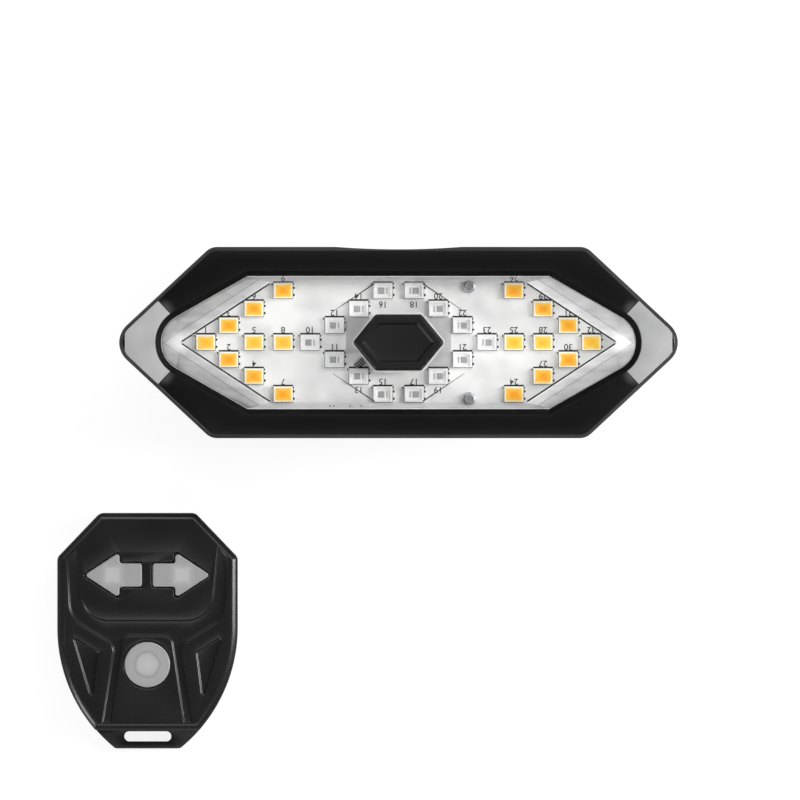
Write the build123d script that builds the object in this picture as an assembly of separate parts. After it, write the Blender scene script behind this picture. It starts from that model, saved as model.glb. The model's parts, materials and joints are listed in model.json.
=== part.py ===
"""Bicycle turn signal light: a rear lamp with arrow-shaped LED fields, and its wireless handset.

The two pieces of the set lie on a table, faces up, as they are photographed. X runs along the lamp,
Y runs up the photograph and Z is up from the table. The origin is the middle of the set's footprint.
The lamp lies on its seat post bracket, and the handset lies beside it on its flat back.
All sizes are in millimetres.
"""

import os
from math import asin, cos, radians, sin, tan

from build123d import *

# The layout of the set on the table
set_gap = 13.7  # between the lamp's lower edge and the handset's upper edge
handset_overhang = 11.5  # how far the handset stands out past the lamp's left tip

# Shared clearances
cut_overrun = 1.0  # how far a cutting tool runs past the face that it cuts
slide_clearance = 0.2  # between pieces that slide on each other
seat_clearance = 0.05  # between pieces that are seated or glued

# Lamp: outline and heights
lamp_length = 101.6  # over the rounded tips
lamp_height = 34.8
lamp_edge_angle = 43.0  # of the slanted edges to the long axis
lamp_tip_radius = 4.3
lamp_corner_radius = 3.0
housing_wall = 1.6
housing_floor = 1.6
housing_depth = 13.3  # from the flat back to the parting face
housing_draft = 6.0  # degrees that the housing narrows towards its back
housing_back_round = 1.2
bezel_depth = 4.4  # from the parting face to the front face
bezel_plate = 1.6
bezel_wall = 2.0
bezel_rim_width = 0.6  # of the sloping rim round the front face
bezel_rim_depth = 1.2
scoop_width = 23.0  # of the shallow thumb scoop in the upper edge
scoop_depth = 0.45

# Window and lens
window_length = 86.4
bezel_band = 5.3  # from the lamp's edge in to the window's edge
window_edge_angle = 29.6
window_tip_radius = 5.4
window_corner_radius = 0.5
window_bevel = 1.0  # of the bevel round the window
lens_clearance = 0.1
lens_flange_width = 1.5
lens_flange_thickness = 1.3
lens_shoulder_rise = 0.4  # from the window's edge up to where the lens slopes
lens_wall = 1.3
lens_roof_length = 80.0  # of the flat roof, over its sharp tips
lens_band = 1.1  # width of the sloping bands along the long edges
lens_roof_edge_angle = 33.3
lens_roof_tip_radius = 0.4
lens_roof_rise = 1.2
lens_plateau_edge = 8.4  # length of its straight upper edge
lens_plateau_edge_angle = 33.5
lens_plateau_rise = 0.15
lens_collar_width = 0.32  # of the raised ring round the button's hole
lens_collar_rise = 0.12

# Side light guides
guide_reach = 7.1  # from the lamp's tip back to where the guide ends on the rim
guide_clearance = 0.05
guide_end_run = 9.0  # length of the end cut, well past the guide's width

# Power button in the lens
button_length = 16.2
button_height = 9.84
button_edge_angle = 50.8
button_tip_radius = 0.5
button_proud = 1.3  # above the lens
button_edge_round = 0.4
button_dish_height = 6.4
button_dish_flat = 6.7
button_dish_depth = 0.45
button_flange_width = 0.5
button_flange_thickness = 0.7
button_clearance = 0.2
button_stem_radius = 1.5

# Grey silicone pad round the switch, between the brake LEDs
switch_pad_length = 19.2
switch_pad_gap = 0.14  # to the LEDs above and below it
switch_pad_thickness = 0.4
switch_pad_clearance = 0.3

# Antenna coil on the LED board
coil_radius = 0.55
coil_wire_radius = 0.11
coil_turns = 5
coil_length = 2.2
coil_lead = 0.45
coil_x = -6.9
coil_gap = 1.04  # from the coil's middle down to the LED below it
coil_turn = 40.0  # degrees that its axis is turned from the long axis

# Push switches, the same type in lamp and handset
switch_side = 4.0
switch_height = 1.5
switch_plunger_radius = 0.9
switch_plunger_proud = 0.6
switch_plunger_length = 1.3
switch_floor = 0.15

# LED board and its LEDs
led_board_thickness = 1.2
led_board_margin = 0.4  # past the window's edge, under the lens
led_board_drop = 3.2  # from the bezel plate's underside down to the board's face
led_length = 3.5
led_width = 2.8
led_thickness = 0.8
led_well_margin = 0.42
led_well_depth = 0.3
led_row_shares = (0.779, 0.507, 0.257, 0.0)  # of half the window's height, out from the long axis
arrow_columns = (21.0, 26.3, 30.9, 35.1)  # how far out each row's arrow LED stands
arrow_shaft_columns = (21.0, 26.3)
brake_columns = (2.84, 7.23, 11.63, 16.1)
board_screw_x = 12.9
board_screw_share = 0.843  # of half the window's height, out from the long axis
board_screw_shank_radius = 0.7
board_screw_head_radius = 1.15
board_screw_head_height = 0.8
board_screw_length = 4.5
board_rest_x = 30.0
board_rest_y = 5.5
board_post_radius = 2.0

# Screws that join the shells, the same type in lamp and handset
screw_shank_radius = 0.95
screw_head_radius = 1.8
screw_head_height = 1.3
screw_cross_width_share = 0.28  # of the head's radius
screw_cross_length_share = 1.2
screw_cross_depth_share = 0.5  # of the head's height
screw_hole_clearance = 0.05

# Screws that join the housing and the bezel
housing_screw_end = 1.65  # from where the slanted edges start back to the screw
housing_screw_side = 4.2  # from the lamp's edge in to the screw
housing_screw_length = 10.0
housing_boss_radius = 2.3
housing_boss_height = 8.7
housing_screw_pad = 2.8  # floor thickness under the screw heads
housing_screw_sink = 1.6
bezel_boss_radius = 2.0
head_hole_clearance = 0.2

# Seal between the housing and the bezel
seal_width = 0.5
seal_height = 0.4
seal_inset = 0.55

# Charging socket, its board and its cover
socket_width = 8.94
socket_height = 3.2
socket_depth = 7.3
socket_wall = 0.3
socket_tongue_width = 6.7
socket_tongue_thickness = 0.7
socket_tongue_setback = 0.8
control_board_width = 30.0
control_board_depth = 10.5
control_board_thickness = 1.0
board_gap = 0.8  # between the control board, the battery and the board post
port_clearance = 0.3
port_wall = 1.9  # housing wall left round the port, behind the cover
cover_length = 13.6
cover_height = 5.6
cover_thickness = 1.0
cover_gap = 0.25
cover_corner_radius = 1.2
cover_plug_length = 8.2
cover_plug_height = 2.4
cover_plug_depth = 1.0
cover_plug_inset = 3.4  # from the hinge axis to the near end of the plug
cover_bead_radius = 0.65
cover_bead_clearance = 0.08
cover_sink = 1.15  # how deep the cover's pocket is in the lower wall
chip_height = 0.9
chip_side = 4.4
chip_gap = 1.2

# Header that joins the two boards
header_pins = 4
header_pitch = 2.0
header_pin_side = 0.5
header_body_width = 1.9
header_body_height = 1.6

# Battery
battery_length = 34.0
battery_side_gap = 5.8  # room for the leads and for the housing's draft
battery_thickness = 5.2
battery_round = 1.0
battery_tape_thickness = 0.5
battery_tape_margin = 1.5
lead_radius = 0.45
lead_pitch = 1.6
lead_bend_radius = 1.2
lead_run = 3.2

# Seat post bracket
post_radius = 13.6  # for the common 27.2 mm seat post
saddle_half_angle = 71.0
saddle_pad_thickness = 1.5
saddle_groove_width = 1.0
saddle_groove_depth = 0.5
saddle_groove_count = 4
bracket_length = 24.0
bracket_cheek = 1.9  # width of each flat foot outside the pad
bracket_crown = 1.5  # plastic over the crown of the saddle
bracket_edge_round = 1.0
bracket_shoulder = 4.5  # of the slopes beside the rail
bracket_shoulder_round = 2.0
rail_neck_width = 12.0
rail_head_width = 18.0
rail_lip = 1.4
rail_head_thickness = 1.3
rail_head_length = 22.0
rail_gap = 0.3  # between bracket and housing back
rail_roof = 1.4
hook_arm_thickness = 2.0
hook_reach = 4.2
hook_tip_thickness = 1.6
hook_tip_height = 2.6
hook_width = 12.0
hook_level = 4.6

# Handset: outline and heights
handset_width = 32.9
handset_body_length = 39.6
handset_top_width = 17.4
handset_chamfer_height = 8.1
handset_side_end = 21.0  # from the upper edge down to where the sides start to curve in
handset_foot_share = 0.36  # width left at the tab's lower edge, of the whole width
tab_reach = 3.45  # of the strap tab, below the body
tab_corner_round = 0.9
handset_base_height = 5.2
handset_lid_height = 6.0
handset_wall = 1.5
handset_floor = 1.3
handset_plate = 1.4
handset_top_round = 1.3
handset_base_round = 0.8
handset_corner_round = 1.5
tab_thickness = 2.4
tab_lift = 0.8
strap_slot_length = 8.6
strap_slot_height = 1.85
strap_slot_rise = 2.2  # from the tab's lower edge up to the slot's middle

# Handset: sunk forms of the face, placed from its upper edge down
channel_depth = 0.55  # of the channel round the two panels
channel_top_x = 14.9
channel_shoulder_x = 14.1
channel_shoulder = 19.1  # from the upper edge down
channel_shoulder_radius = 5.0
channel_neck_x = 5.95
channel_neck = 24.0
channel_neck_radius = 2.5
channel_foot_x = 8.4
key_panel_top_x = 13.5
key_panel_foot_x = 11.6
key_panel_lower = 19.6
key_panel_corner = 5.0
thumb_panel_upper = 22.4
thumb_panel_top_x = 4.4
thumb_panel_foot_x = 6.9
thumb_panel_corner = 1.6
wing_depth = 0.55
wing_outer_x = 13.6
wing_inner_x = 9.0
wing_top = 22.5
wing_shoulder = 25.4
wing_foot = 34.2
wing_foot_x = 10.1
wing_round = 0.3

# Handset: keys
arrow_key_tip = 11.5
arrow_key_shoulder = 5.1
arrow_key_start = 1.0
arrow_key_half_height = 4.2
arrow_key_shaft_half = 2.14
arrow_key_drop = 11.3  # from the upper edge down to the arrows' middle
arrow_key_round = 0.5
mode_key_radius = 4.15
mode_key_drop = 27.65
key_proud = 0.4  # above the face
key_clearance = 0.2
key_flange_width = 0.7
key_flange_thickness = 0.7
key_flange_gap = 0.2
key_stem_radius = 1.2
key_edge_round = 0.25

# Handset: board, coin cell and its cover
handset_board_thickness = 0.8
handset_board_inset = 2.3
handset_boss_radius = 1.9
handset_boss_gap = 0.4
handset_screw_upper_side = 5.95  # from the straight side in to the screw
handset_screw_upper_drop = 7.0
handset_screw_lower_side = 8.0
handset_screw_lower_rise = 5.6  # from the lower edge up to the screw
handset_screw_length = 6.5
handset_screw_sink = 1.5
handset_screw_pad = 2.8
handset_well_wall = 0.6  # round each screw head
cell_radius = 10.0
cell_height = 3.2
cell_rim_round = 0.4
cell_drop = 18.6  # from the upper edge down to the cell's middle
cell_bay_clearance = 0.6
cell_bay_wall = 1.2
cell_contact_gap = 0.5
cell_contact_thickness = 0.2
cell_contact_radius = 3.0
cell_clip_width = 4.0
cell_cover_radius = 11.6
cell_cover_recess = 0.2
cell_cover_thickness = 1.4
cell_cover_clearance = 0.15
cell_cover_boss_height = 0.4
cell_lug_length = 0.8
cell_lug_width = 4.0
cell_lug_height = 0.6
cell_lug_level = 0.8
coin_slot_width = 1.6
coin_slot_length = 13.0
coin_slot_depth = 0.7
cell_seal_width = 0.9
cell_seal_margin = 0.15

# Worked out from the sizes above
half = 0.5
window_height = lamp_height - 2 * bezel_band
lens_roof_height = window_height - 2 * (lens_clearance + lens_band)
led_rows = [share * half * window_height for share in led_row_shares]
board_screw_y = board_screw_share * half * window_height
housing_screw_y = half * lamp_height - housing_screw_side
switch_pad_height = 2 * (led_rows[1] - half * led_width - switch_pad_gap)
coil_y = half * led_width + coil_gap - led_rows[1]
handset_length = handset_body_length + tab_reach
handset_screw_upper_x = half * handset_width - handset_screw_upper_side
handset_screw_lower_x = half * handset_width - handset_screw_lower_side
set_width = handset_overhang + lamp_length
set_depth = lamp_height + set_gap + handset_length
lamp_x = half * (set_width - lamp_length)
lamp_y = half * (set_depth - lamp_height)
handset_x = half * (handset_width - set_width)
handset_y = half * (handset_length - set_depth)

saddle_axis_z = -post_radius * cos(radians(saddle_half_angle))
saddle_radius = post_radius + saddle_pad_thickness
bracket_top = saddle_axis_z + saddle_radius + bracket_crown
back_z = bracket_top + rail_gap
parting_z = back_z + housing_depth
face_z = parting_z + bezel_depth
plate_z = face_z - bezel_plate
led_board_top = plate_z - led_board_drop
led_board_bottom = led_board_top - led_board_thickness
slot_top = back_z + rail_lip + rail_head_thickness + 2 * slide_clearance
boss_roof = slot_top + rail_roof


class LongHexagon:
    """A hexagon stretched along X, its two tips on the X axis, with rounded tips and corners."""

    def __init__(self, sharp_tip, half_height, edge_angle, tip_radius, corner_radius):
        self.sharp_tip = sharp_tip
        self.half_height = half_height
        self.edge_angle = edge_angle
        self.tip_radius = tip_radius
        self.corner_radius = corner_radius

    def grown(self, by):
        """The outline that runs beside this one, by millimetres further out."""
        tip = self.tip_radius + by if self.tip_radius > 0 else 0
        corner = self.corner_radius + by if self.corner_radius > 0 else 0
        sharp_tip = self.sharp_tip + by / sin(radians(self.edge_angle))
        return LongHexagon(
            sharp_tip, self.half_height + by, self.edge_angle, max(tip, 0), max(corner, 0)
        )

    def corner_x(self):
        return self.sharp_tip - self.half_height / tan(radians(self.edge_angle))

    def face(self, z):
        corner_x = self.corner_x()
        outline = Polygon(
            (-self.sharp_tip, 0),
            (-corner_x, -self.half_height),
            (corner_x, -self.half_height),
            (self.sharp_tip, 0),
            (corner_x, self.half_height),
            (-corner_x, self.half_height),
            align=None,
        )
        middle = half * (corner_x + self.sharp_tip)
        if self.tip_radius > 0:
            tips = outline.vertices().filter_by(lambda v: abs(v.X) > middle)
            outline = fillet(tips, self.tip_radius)
        if self.corner_radius > 0:
            level = self.half_height - seat_clearance
            corners = outline.vertices().filter_by(lambda v: abs(v.Y) > level)
            outline = fillet(corners, self.corner_radius)
        return Pos(0, 0, z) * outline


def rounded_tip_hexagon(length, height, edge_angle, tip_radius, corner_radius):
    """A long hexagon whose length is measured over its rounded tips."""
    tip_loss = tip_radius * (1 / sin(radians(edge_angle)) - 1)
    return LongHexagon(
        half * length + tip_loss, half * height, edge_angle, tip_radius, corner_radius
    )


lamp_outline = rounded_tip_hexagon(
    lamp_length, lamp_height, lamp_edge_angle, lamp_tip_radius, lamp_corner_radius
)
housing_screw_x = lamp_outline.corner_x() - housing_screw_end
window_outline = rounded_tip_hexagon(
    window_length, window_height, window_edge_angle, window_tip_radius, window_corner_radius
)
roof_outline = LongHexagon(
    half * lens_roof_length,
    half * lens_roof_height,
    lens_roof_edge_angle,
    lens_roof_tip_radius,
    window_corner_radius,
)
plateau_slant = half * lens_roof_height / tan(radians(lens_plateau_edge_angle))
plateau_outline = LongHexagon(
    half * lens_plateau_edge + plateau_slant,
    half * lens_roof_height,
    lens_plateau_edge_angle,
    0,
    0,
)
button_outline = LongHexagon(
    half * button_length, half * button_height, button_edge_angle, button_tip_radius, button_tip_radius
)


def prism(outline, low, high):
    """The outline extruded from one height to another."""
    return extrude(outline.face(low), amount=high - low)


def block(width, depth, low, high, x=0, y=0):
    """A box by its width, depth and heights, centred on a point of the plan."""
    low_centre = Pos(x, y, low)
    return low_centre * Box(width, depth, high - low, align=(Align.CENTER, Align.CENTER, Align.MIN))


def rod(radius, low, high, x=0, y=0):
    """An upright cylinder by its radius and heights."""
    low_centre = Pos(x, y, low)
    return low_centre * Cylinder(radius, high - low, align=(Align.CENTER, Align.CENTER, Align.MIN))


def four_corners(x, y):
    return [(sx * x, sy * y) for sx in (-1, 1) for sy in (-1, 1)]


def joined(shapes):
    """One shape of all the solids given, kept as separate solids."""
    return Compound(children=[solid for shape in shapes for solid in shape.solids()])


def raised(plan, low, high):
    """A flat outline drawn at the table's height, extruded from one height to another."""
    return Pos(0, 0, low) * extrude(plan, amount=high - low, dir=(0, 0, 1))


def top_edges(shape):
    return shape.edges().group_by(Axis.Z)[-1]


def bottom_edges(shape):
    return shape.edges().group_by(Axis.Z)[0]


def screw(length, shank_radius, head_radius, head_height):
    """A pan-head screw with a cross recess, its head's underside at the origin and its shank below."""
    head = rod(head_radius, 0, head_height)
    head = fillet(top_edges(head), half * head_height)
    body = rod(shank_radius, -length, 0) + head
    recess_bottom = head_height * (1 - screw_cross_depth_share)
    recess_top = head_height + cut_overrun
    arm_length = head_radius * screw_cross_length_share
    arm_width = head_radius * screw_cross_width_share
    body -= block(arm_length, arm_width, recess_bottom, recess_top)
    return body - block(arm_width, arm_length, recess_bottom, recess_top)


def shell_screws(places, head_z, length):
    """The screws that go up into a shell from its back."""
    upward = Rot(180, 0, 0) * screw(
        length, screw_shank_radius, screw_head_radius, screw_head_height
    )
    return joined([Pos(x, y, head_z) * upward for x, y in places])


def switch_body(base_z, x, y):
    """A push switch's case, with the bore that its plunger slides in."""
    case = block(switch_side, switch_side, base_z, base_z + switch_height, x, y)
    bore = switch_plunger_radius + seat_clearance
    return case - rod(bore, base_z + switch_floor, base_z + switch_height + cut_overrun, x, y)


def switch_plunger(base_z, x, y):
    """The switch's plunger at rest, standing proud of its case."""
    top = base_z + switch_height + switch_plunger_proud
    return rod(switch_plunger_radius, top - switch_plunger_length, top, x, y)


# Lamp


def scoop_tool(low, high):
    """The large cylinder that cuts the thumb scoop in the lamp's upper edge."""
    radius = scoop_width**2 / (8 * scoop_depth) + half * scoop_depth
    return rod(radius, low, high, 0, half * lamp_height + radius - scoop_depth)


def housing_solid():
    """The housing's outer form, narrowing from the parting face to the rounded back."""
    body = extrude(
        lamp_outline.face(parting_z), amount=housing_depth, dir=(0, 0, -1), taper=housing_draft
    )
    return fillet(bottom_edges(body), housing_back_round)


def rail_slot():
    """The T-shaped slot in the back that the bracket's rail slides in, open at the lower edge."""
    stop_y = half * rail_head_length + seat_clearance
    mouth_y = -half * lamp_height - cut_overrun
    length = stop_y - mouth_y
    middle = half * (stop_y + mouth_y)
    neck = block(
        rail_neck_width + 2 * slide_clearance,
        length,
        back_z - cut_overrun,
        back_z + rail_lip + slide_clearance,
        0,
        middle,
    )
    head = block(
        rail_head_width + 2 * slide_clearance, length, back_z + rail_lip, slot_top, 0, middle
    )
    return neck + head


cover_face_y = -half * lamp_height + cover_sink  # the floor of the cover's pocket
port_z = boss_roof + control_board_thickness + half * socket_height
cover_hinge_x = -half * cover_length + cover_bead_radius
cover_hinge_y = cover_face_y - half * cover_thickness
port_x = cover_hinge_x + cover_plug_inset + half * cover_plug_length
socket_face_y = cover_face_y + port_wall


def port_cutter():
    """The cover's pocket, the bead's groove and the hole for the charging plug."""
    pocket_length = cover_length + 2 * cover_gap
    pocket_height = cover_height + 2 * cover_gap
    depth = cover_sink + cut_overrun
    pocket = Pos(0, cover_face_y - half * depth, port_z) * Box(pocket_length, depth, pocket_height)
    groove_radius = cover_bead_radius + cover_bead_clearance
    groove = Pos(cover_hinge_x, cover_hinge_y, port_z) * Cylinder(groove_radius, pocket_height)
    hole_length = cover_plug_length + 2 * port_clearance
    hole_depth = port_wall + 2 * cut_overrun
    hole = Pos(port_x, cover_face_y + half * port_wall, port_z) * Box(
        hole_length, hole_depth, socket_height
    )
    return pocket + groove + hole


def rear_housing():
    outer = housing_solid()
    cavity = extrude(
        lamp_outline.grown(-housing_wall).face(parting_z),
        amount=housing_depth - housing_floor,
        dir=(0, 0, -1),
        taper=housing_draft,
    )
    shell = outer - cavity
    boss_width = rail_head_width + 2 * (slide_clearance + housing_wall)
    boss_top_y = half * rail_head_length + seat_clearance + housing_wall
    boss_bottom_y = -half * lamp_height
    boss = block(
        boss_width,
        boss_top_y - boss_bottom_y,
        back_z,
        boss_roof,
        0,
        half * (boss_top_y + boss_bottom_y),
    )
    port_block_width = cover_length + 2 * (cover_gap + housing_wall)
    port_block = block(
        port_block_width,
        cover_sink + port_wall,
        back_z,
        port_z + half * cover_height + cover_gap + housing_wall,
        0,
        cover_face_y + half * (port_wall - cover_sink),
    )
    inner = boss + port_block
    for x, y in four_corners(housing_screw_x, housing_screw_y):
        inner += rod(housing_boss_radius, back_z, back_z + housing_boss_height, x, y)
        pad_top = back_z + housing_screw_pad + housing_screw_sink
        inner += rod(screw_head_radius + housing_wall, back_z, pad_top, x, y)
    for x, y in board_screw_places:
        inner += rod(board_post_radius, back_z, led_board_bottom, x, y)
    for y in (-board_rest_y, board_rest_y):
        inner += rod(board_post_radius, back_z, led_board_bottom, -board_rest_x, y)
    shell += inner & outer
    shell -= rail_slot()
    shell -= port_cutter()
    hole = screw_shank_radius + screw_hole_clearance
    for x, y in four_corners(housing_screw_x, housing_screw_y):
        shell -= rod(hole, back_z - cut_overrun, parting_z, x, y)
        sink_top = back_z + housing_screw_sink + screw_head_height
        shell -= rod(screw_head_radius + head_hole_clearance, back_z - cut_overrun, sink_top, x, y)
    board_hole = board_screw_shank_radius + screw_hole_clearance
    for x, y in board_screw_places:
        shell -= rod(board_hole, led_board_top - board_screw_length - cut_overrun, parting_z, x, y)
    groove_outer = lamp_outline.grown(-seal_inset)
    groove_inner = lamp_outline.grown(-seal_inset - seal_width)
    groove = prism(groove_outer, parting_z - seal_height, parting_z + cut_overrun)
    groove -= prism(groove_inner, parting_z - seal_height - cut_overrun, parting_z + 2 * cut_overrun)
    shell -= groove
    return shell - scoop_tool(back_z - cut_overrun, face_z + cut_overrun)


def housing_seal():
    outer = lamp_outline.grown(-seal_inset - seat_clearance)
    inner = lamp_outline.grown(-seal_inset - seal_width + seat_clearance)
    ring = prism(outer, parting_z - seal_height, parting_z)
    return ring - prism(inner, parting_z - seal_height - cut_overrun, parting_z + cut_overrun)


def guide_region(side, grow):
    """The plan of a side light guide: a band between the rim and the window, cut square to the rim."""
    rim = lamp_outline.grown(-bezel_rim_width - grow)
    end_x = half * lamp_length - guide_reach
    end_y = (rim.sharp_tip - end_x) * tan(radians(lamp_edge_angle))
    along_x = sin(radians(lamp_edge_angle))
    along_y = cos(radians(lamp_edge_angle))
    out = (end_x + guide_end_run * along_x, end_y + guide_end_run * along_y)
    into = (end_x - guide_end_run * along_x, end_y - guide_end_run * along_y)
    wedge = Polygon(
        (side * out[0], out[1]),
        (side * into[0], into[1]),
        (side * into[0], -into[1]),
        (side * out[0], -out[1]),
        align=None,
    )
    if grow:
        wedge = offset(wedge, -grow)
    window = window_outline.grown(window_bevel + grow)
    return (rim.face(0) & wedge) - window.face(0)


def front_bezel():
    body = prism(lamp_outline, parting_z, face_z)
    body = chamfer(top_edges(body), bezel_rim_depth, bezel_rim_width)
    cavity = prism(lamp_outline.grown(-bezel_wall), parting_z - cut_overrun, plate_z)
    body -= cavity
    for x, y in four_corners(housing_screw_x, housing_screw_y):
        boss_bottom = back_z + housing_boss_height + seat_clearance
        body += rod(bezel_boss_radius, boss_bottom, plate_z, x, y)
        tip = back_z + housing_screw_sink + screw_head_height
        hole_top = tip + housing_screw_length + seat_clearance
        body -= rod(screw_shank_radius + screw_hole_clearance, boss_bottom - cut_overrun, hole_top, x, y)
    body -= prism(window_outline, plate_z - cut_overrun, face_z + cut_overrun)
    bevel = loft(
        [
            window_outline.face(face_z - window_bevel),
            window_outline.grown(window_bevel).face(face_z),
        ],
        ruled=True,
    )
    body -= bevel
    for side in (-1, 1):
        pocket = Pos(0, 0, plate_z) * guide_region(side, 0)
        body -= extrude(pocket, amount=bezel_plate + cut_overrun)
    return body - scoop_tool(back_z - cut_overrun, face_z + cut_overrun)


def light_guide(side):
    plan = Pos(0, 0, plate_z + seat_clearance) * guide_region(side, guide_clearance)
    return extrude(plan, amount=bezel_plate - seat_clearance)


lens_shoulder_z = face_z - window_bevel + lens_shoulder_rise
lens_roof_z = lens_shoulder_z + lens_roof_rise
lens_top_z = lens_roof_z + lens_plateau_rise
lens_inner_z = lens_roof_z - lens_wall
lens_flange_top = plate_z - seat_clearance
lens_flange_bottom = lens_flange_top - lens_flange_thickness
button_top_z = lens_top_z + button_proud


def clear_lens():
    outline = window_outline.grown(-lens_clearance)
    body = prism(outline, lens_flange_bottom, lens_shoulder_z)
    body += prism(outline.grown(lens_flange_width), lens_flange_bottom, lens_flange_top)
    body += loft([outline.face(lens_shoulder_z), roof_outline.face(lens_roof_z)], ruled=True)
    body += prism(plateau_outline, lens_roof_z, lens_top_z)
    body -= prism(roof_outline, lens_flange_bottom - cut_overrun, lens_inner_z)
    hole = button_outline.grown(button_clearance)
    body += prism(hole.grown(lens_collar_width), lens_inner_z, lens_top_z + lens_collar_rise)
    return body - prism(hole, lens_inner_z - cut_overrun, button_top_z)


switch_top_z = led_board_top + switch_height + switch_plunger_proud
button_flange_top = lens_inner_z - slide_clearance
button_flange_bottom = button_flange_top - button_flange_thickness


def power_button():
    cap = prism(button_outline, button_flange_bottom, button_top_z)
    cap = fillet(top_edges(cap), button_edge_round)
    dish_low = LongHexagon(
        half * (button_dish_flat + button_dish_height / tan(radians(button_edge_angle))),
        half * button_dish_height,
        button_edge_angle,
        0,
        0,
    )
    dish = loft(
        [
            dish_low.face(button_top_z - button_dish_depth),
            dish_low.grown(button_dish_depth).face(button_top_z),
        ],
        ruled=True,
    )
    flange = prism(
        button_outline.grown(button_flange_width), button_flange_bottom, button_flange_top
    )
    stem = rod(button_stem_radius, switch_top_z, button_flange_bottom)
    return cap - dish + flange + stem


def led_board():
    board = prism(window_outline.grown(led_board_margin), led_board_bottom, led_board_top)
    hole = board_screw_shank_radius + screw_hole_clearance
    for x, y in board_screw_places:
        board -= rod(hole, led_board_bottom - cut_overrun, led_board_top + cut_overrun, x, y)
    return board


def led(x, y):
    """One LED package: a white case with a shallow well for its lens."""
    case = block(led_length, led_width, led_board_top, led_board_top + led_thickness, x, y)
    well = Pos(x, y, led_board_top + led_thickness - led_well_depth) * Box(
        led_length - 2 * led_well_margin,
        led_width - 2 * led_well_margin,
        led_well_depth + cut_overrun,
        align=(Align.CENTER, Align.CENTER, Align.MIN),
    )
    return case - well


def arrow_places(side):
    """Where the LEDs of one arrow stand: its head in a V, and two more along its shaft."""
    places = []
    for column, row in zip(arrow_columns, led_rows):
        places.append((side * column, row))
        if row:
            places.append((side * column, -row))
    places += [(side * column, 0) for column in arrow_shaft_columns]
    return places


def brake_places():
    """Where the brake LEDs stand, in two Vs that meet above and below the button."""
    places = []
    for column, row in zip(brake_columns, led_rows):
        for side in (-1, 1):
            places.append((side * column, row))
            if row:
                places.append((side * column, -row))
    return places


board_screw_places = [(board_screw_x, -board_screw_y), (board_screw_x, board_screw_y)]


def board_screws():
    one = screw(
        board_screw_length,
        board_screw_shank_radius,
        board_screw_head_radius,
        board_screw_head_height,
    )
    return joined([Pos(x, y, led_board_top) * one for x, y in board_screw_places])


def switch_pad():
    """The grey pad on the LED board, with a hole for the switch."""
    top = led_board_top + switch_pad_thickness
    pad = block(switch_pad_length, switch_pad_height, led_board_top, top)
    hole = switch_side + 2 * switch_pad_clearance
    pad -= block(hole, hole, led_board_top - cut_overrun, top + cut_overrun)
    coil_bay = coil_length + 2 * (coil_lead + switch_pad_clearance)
    corner_x = -half * switch_pad_length
    corner_y = -half * switch_pad_height
    bay_right = coil_x + half * coil_bay
    bay_top = coil_y + half * coil_bay
    return pad - block(
        2 * (bay_right - corner_x),
        2 * (bay_top - corner_y),
        led_board_top - cut_overrun,
        top + cut_overrun,
        corner_x,
        corner_y,
    )


def antenna_coil():
    """The small wound antenna beside the switch, its ends bent down to the board."""
    pitch = coil_length / coil_turns
    centre_z = coil_radius + coil_wire_radius + seat_clearance
    winding = Helix(pitch, coil_length, coil_radius)
    start = Plane(origin=winding @ 0, z_dir=winding % 0)
    coil = sweep(start * Circle(coil_wire_radius), path=winding, is_frenet=True)
    coil = Pos(0, 0, -half * coil_length) * coil
    coil = Rot(0, 0, coil_turn) * Rot(0, 90, 0) * coil
    return Pos(coil_x, coil_y, led_board_top + centre_z) * coil


def coil_core():
    """The ceramic rod that the antenna is wound on."""
    radius = coil_radius - coil_wire_radius - seat_clearance
    centre_z = coil_radius + coil_wire_radius + seat_clearance
    core = Rot(0, 0, coil_turn) * Rot(0, 90, 0) * Cylinder(radius, coil_length)
    return Pos(coil_x, coil_y, led_board_top + centre_z) * core


control_board_z = boss_roof
control_board_top = control_board_z + control_board_thickness
control_board_right = board_screw_x - board_post_radius - board_gap
control_board_y = socket_face_y + half * control_board_depth + seat_clearance


def control_board():
    x = control_board_right - half * control_board_width
    return block(
        control_board_width,
        control_board_depth,
        control_board_z,
        control_board_top,
        x,
        control_board_y,
    )


def charging_socket():
    """The metal shell of the charging socket, with its contact tongue."""
    low = control_board_top
    middle_y = socket_face_y + half * socket_depth + seat_clearance
    shell = block(socket_width, socket_depth, low, low + socket_height, port_x, middle_y)
    hollow_depth = socket_depth - socket_wall
    hollow = Pos(port_x, middle_y - socket_wall, port_z) * Box(
        socket_width - 2 * socket_wall, hollow_depth + socket_wall, socket_height - 2 * socket_wall
    )
    tongue_depth = socket_depth - socket_tongue_setback
    tongue = Pos(port_x, middle_y + half * socket_tongue_setback, port_z) * Box(
        socket_tongue_width, tongue_depth, socket_tongue_thickness
    )
    return shell - hollow + tongue


def control_chips():
    """The controller and the radio receiver, beside the socket on the control board."""
    top = control_board_top + chip_height
    first_x = port_x - half * socket_width - chip_gap - half * chip_side
    places = (first_x, first_x - chip_side - chip_gap)
    return joined(
        [block(chip_side, chip_side, control_board_top, top, x, control_board_y) for x in places]
    )


def usb_cover():
    """The rubber cover of the charging port, with its plug and the bead that it turns on."""
    plate_plan = Pos(half * cover_bead_radius, 0) * Rectangle(
        cover_length - cover_bead_radius, cover_height
    )
    right = plate_plan.vertices().filter_by(lambda v: v.X > 0)
    plate_plan = fillet(right, cover_corner_radius)
    plate = extrude(plate_plan, amount=cover_thickness)
    plate = Pos(0, cover_face_y, port_z) * Rot(90, 0, 0) * plate
    bead = Pos(cover_hinge_x, cover_hinge_y, port_z) * Cylinder(cover_bead_radius, cover_height)
    plug = Pos(port_x, cover_face_y + half * cover_plug_depth, port_z) * Box(
        cover_plug_length, cover_plug_depth, cover_plug_height
    )
    return plate + bead + plug


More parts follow.
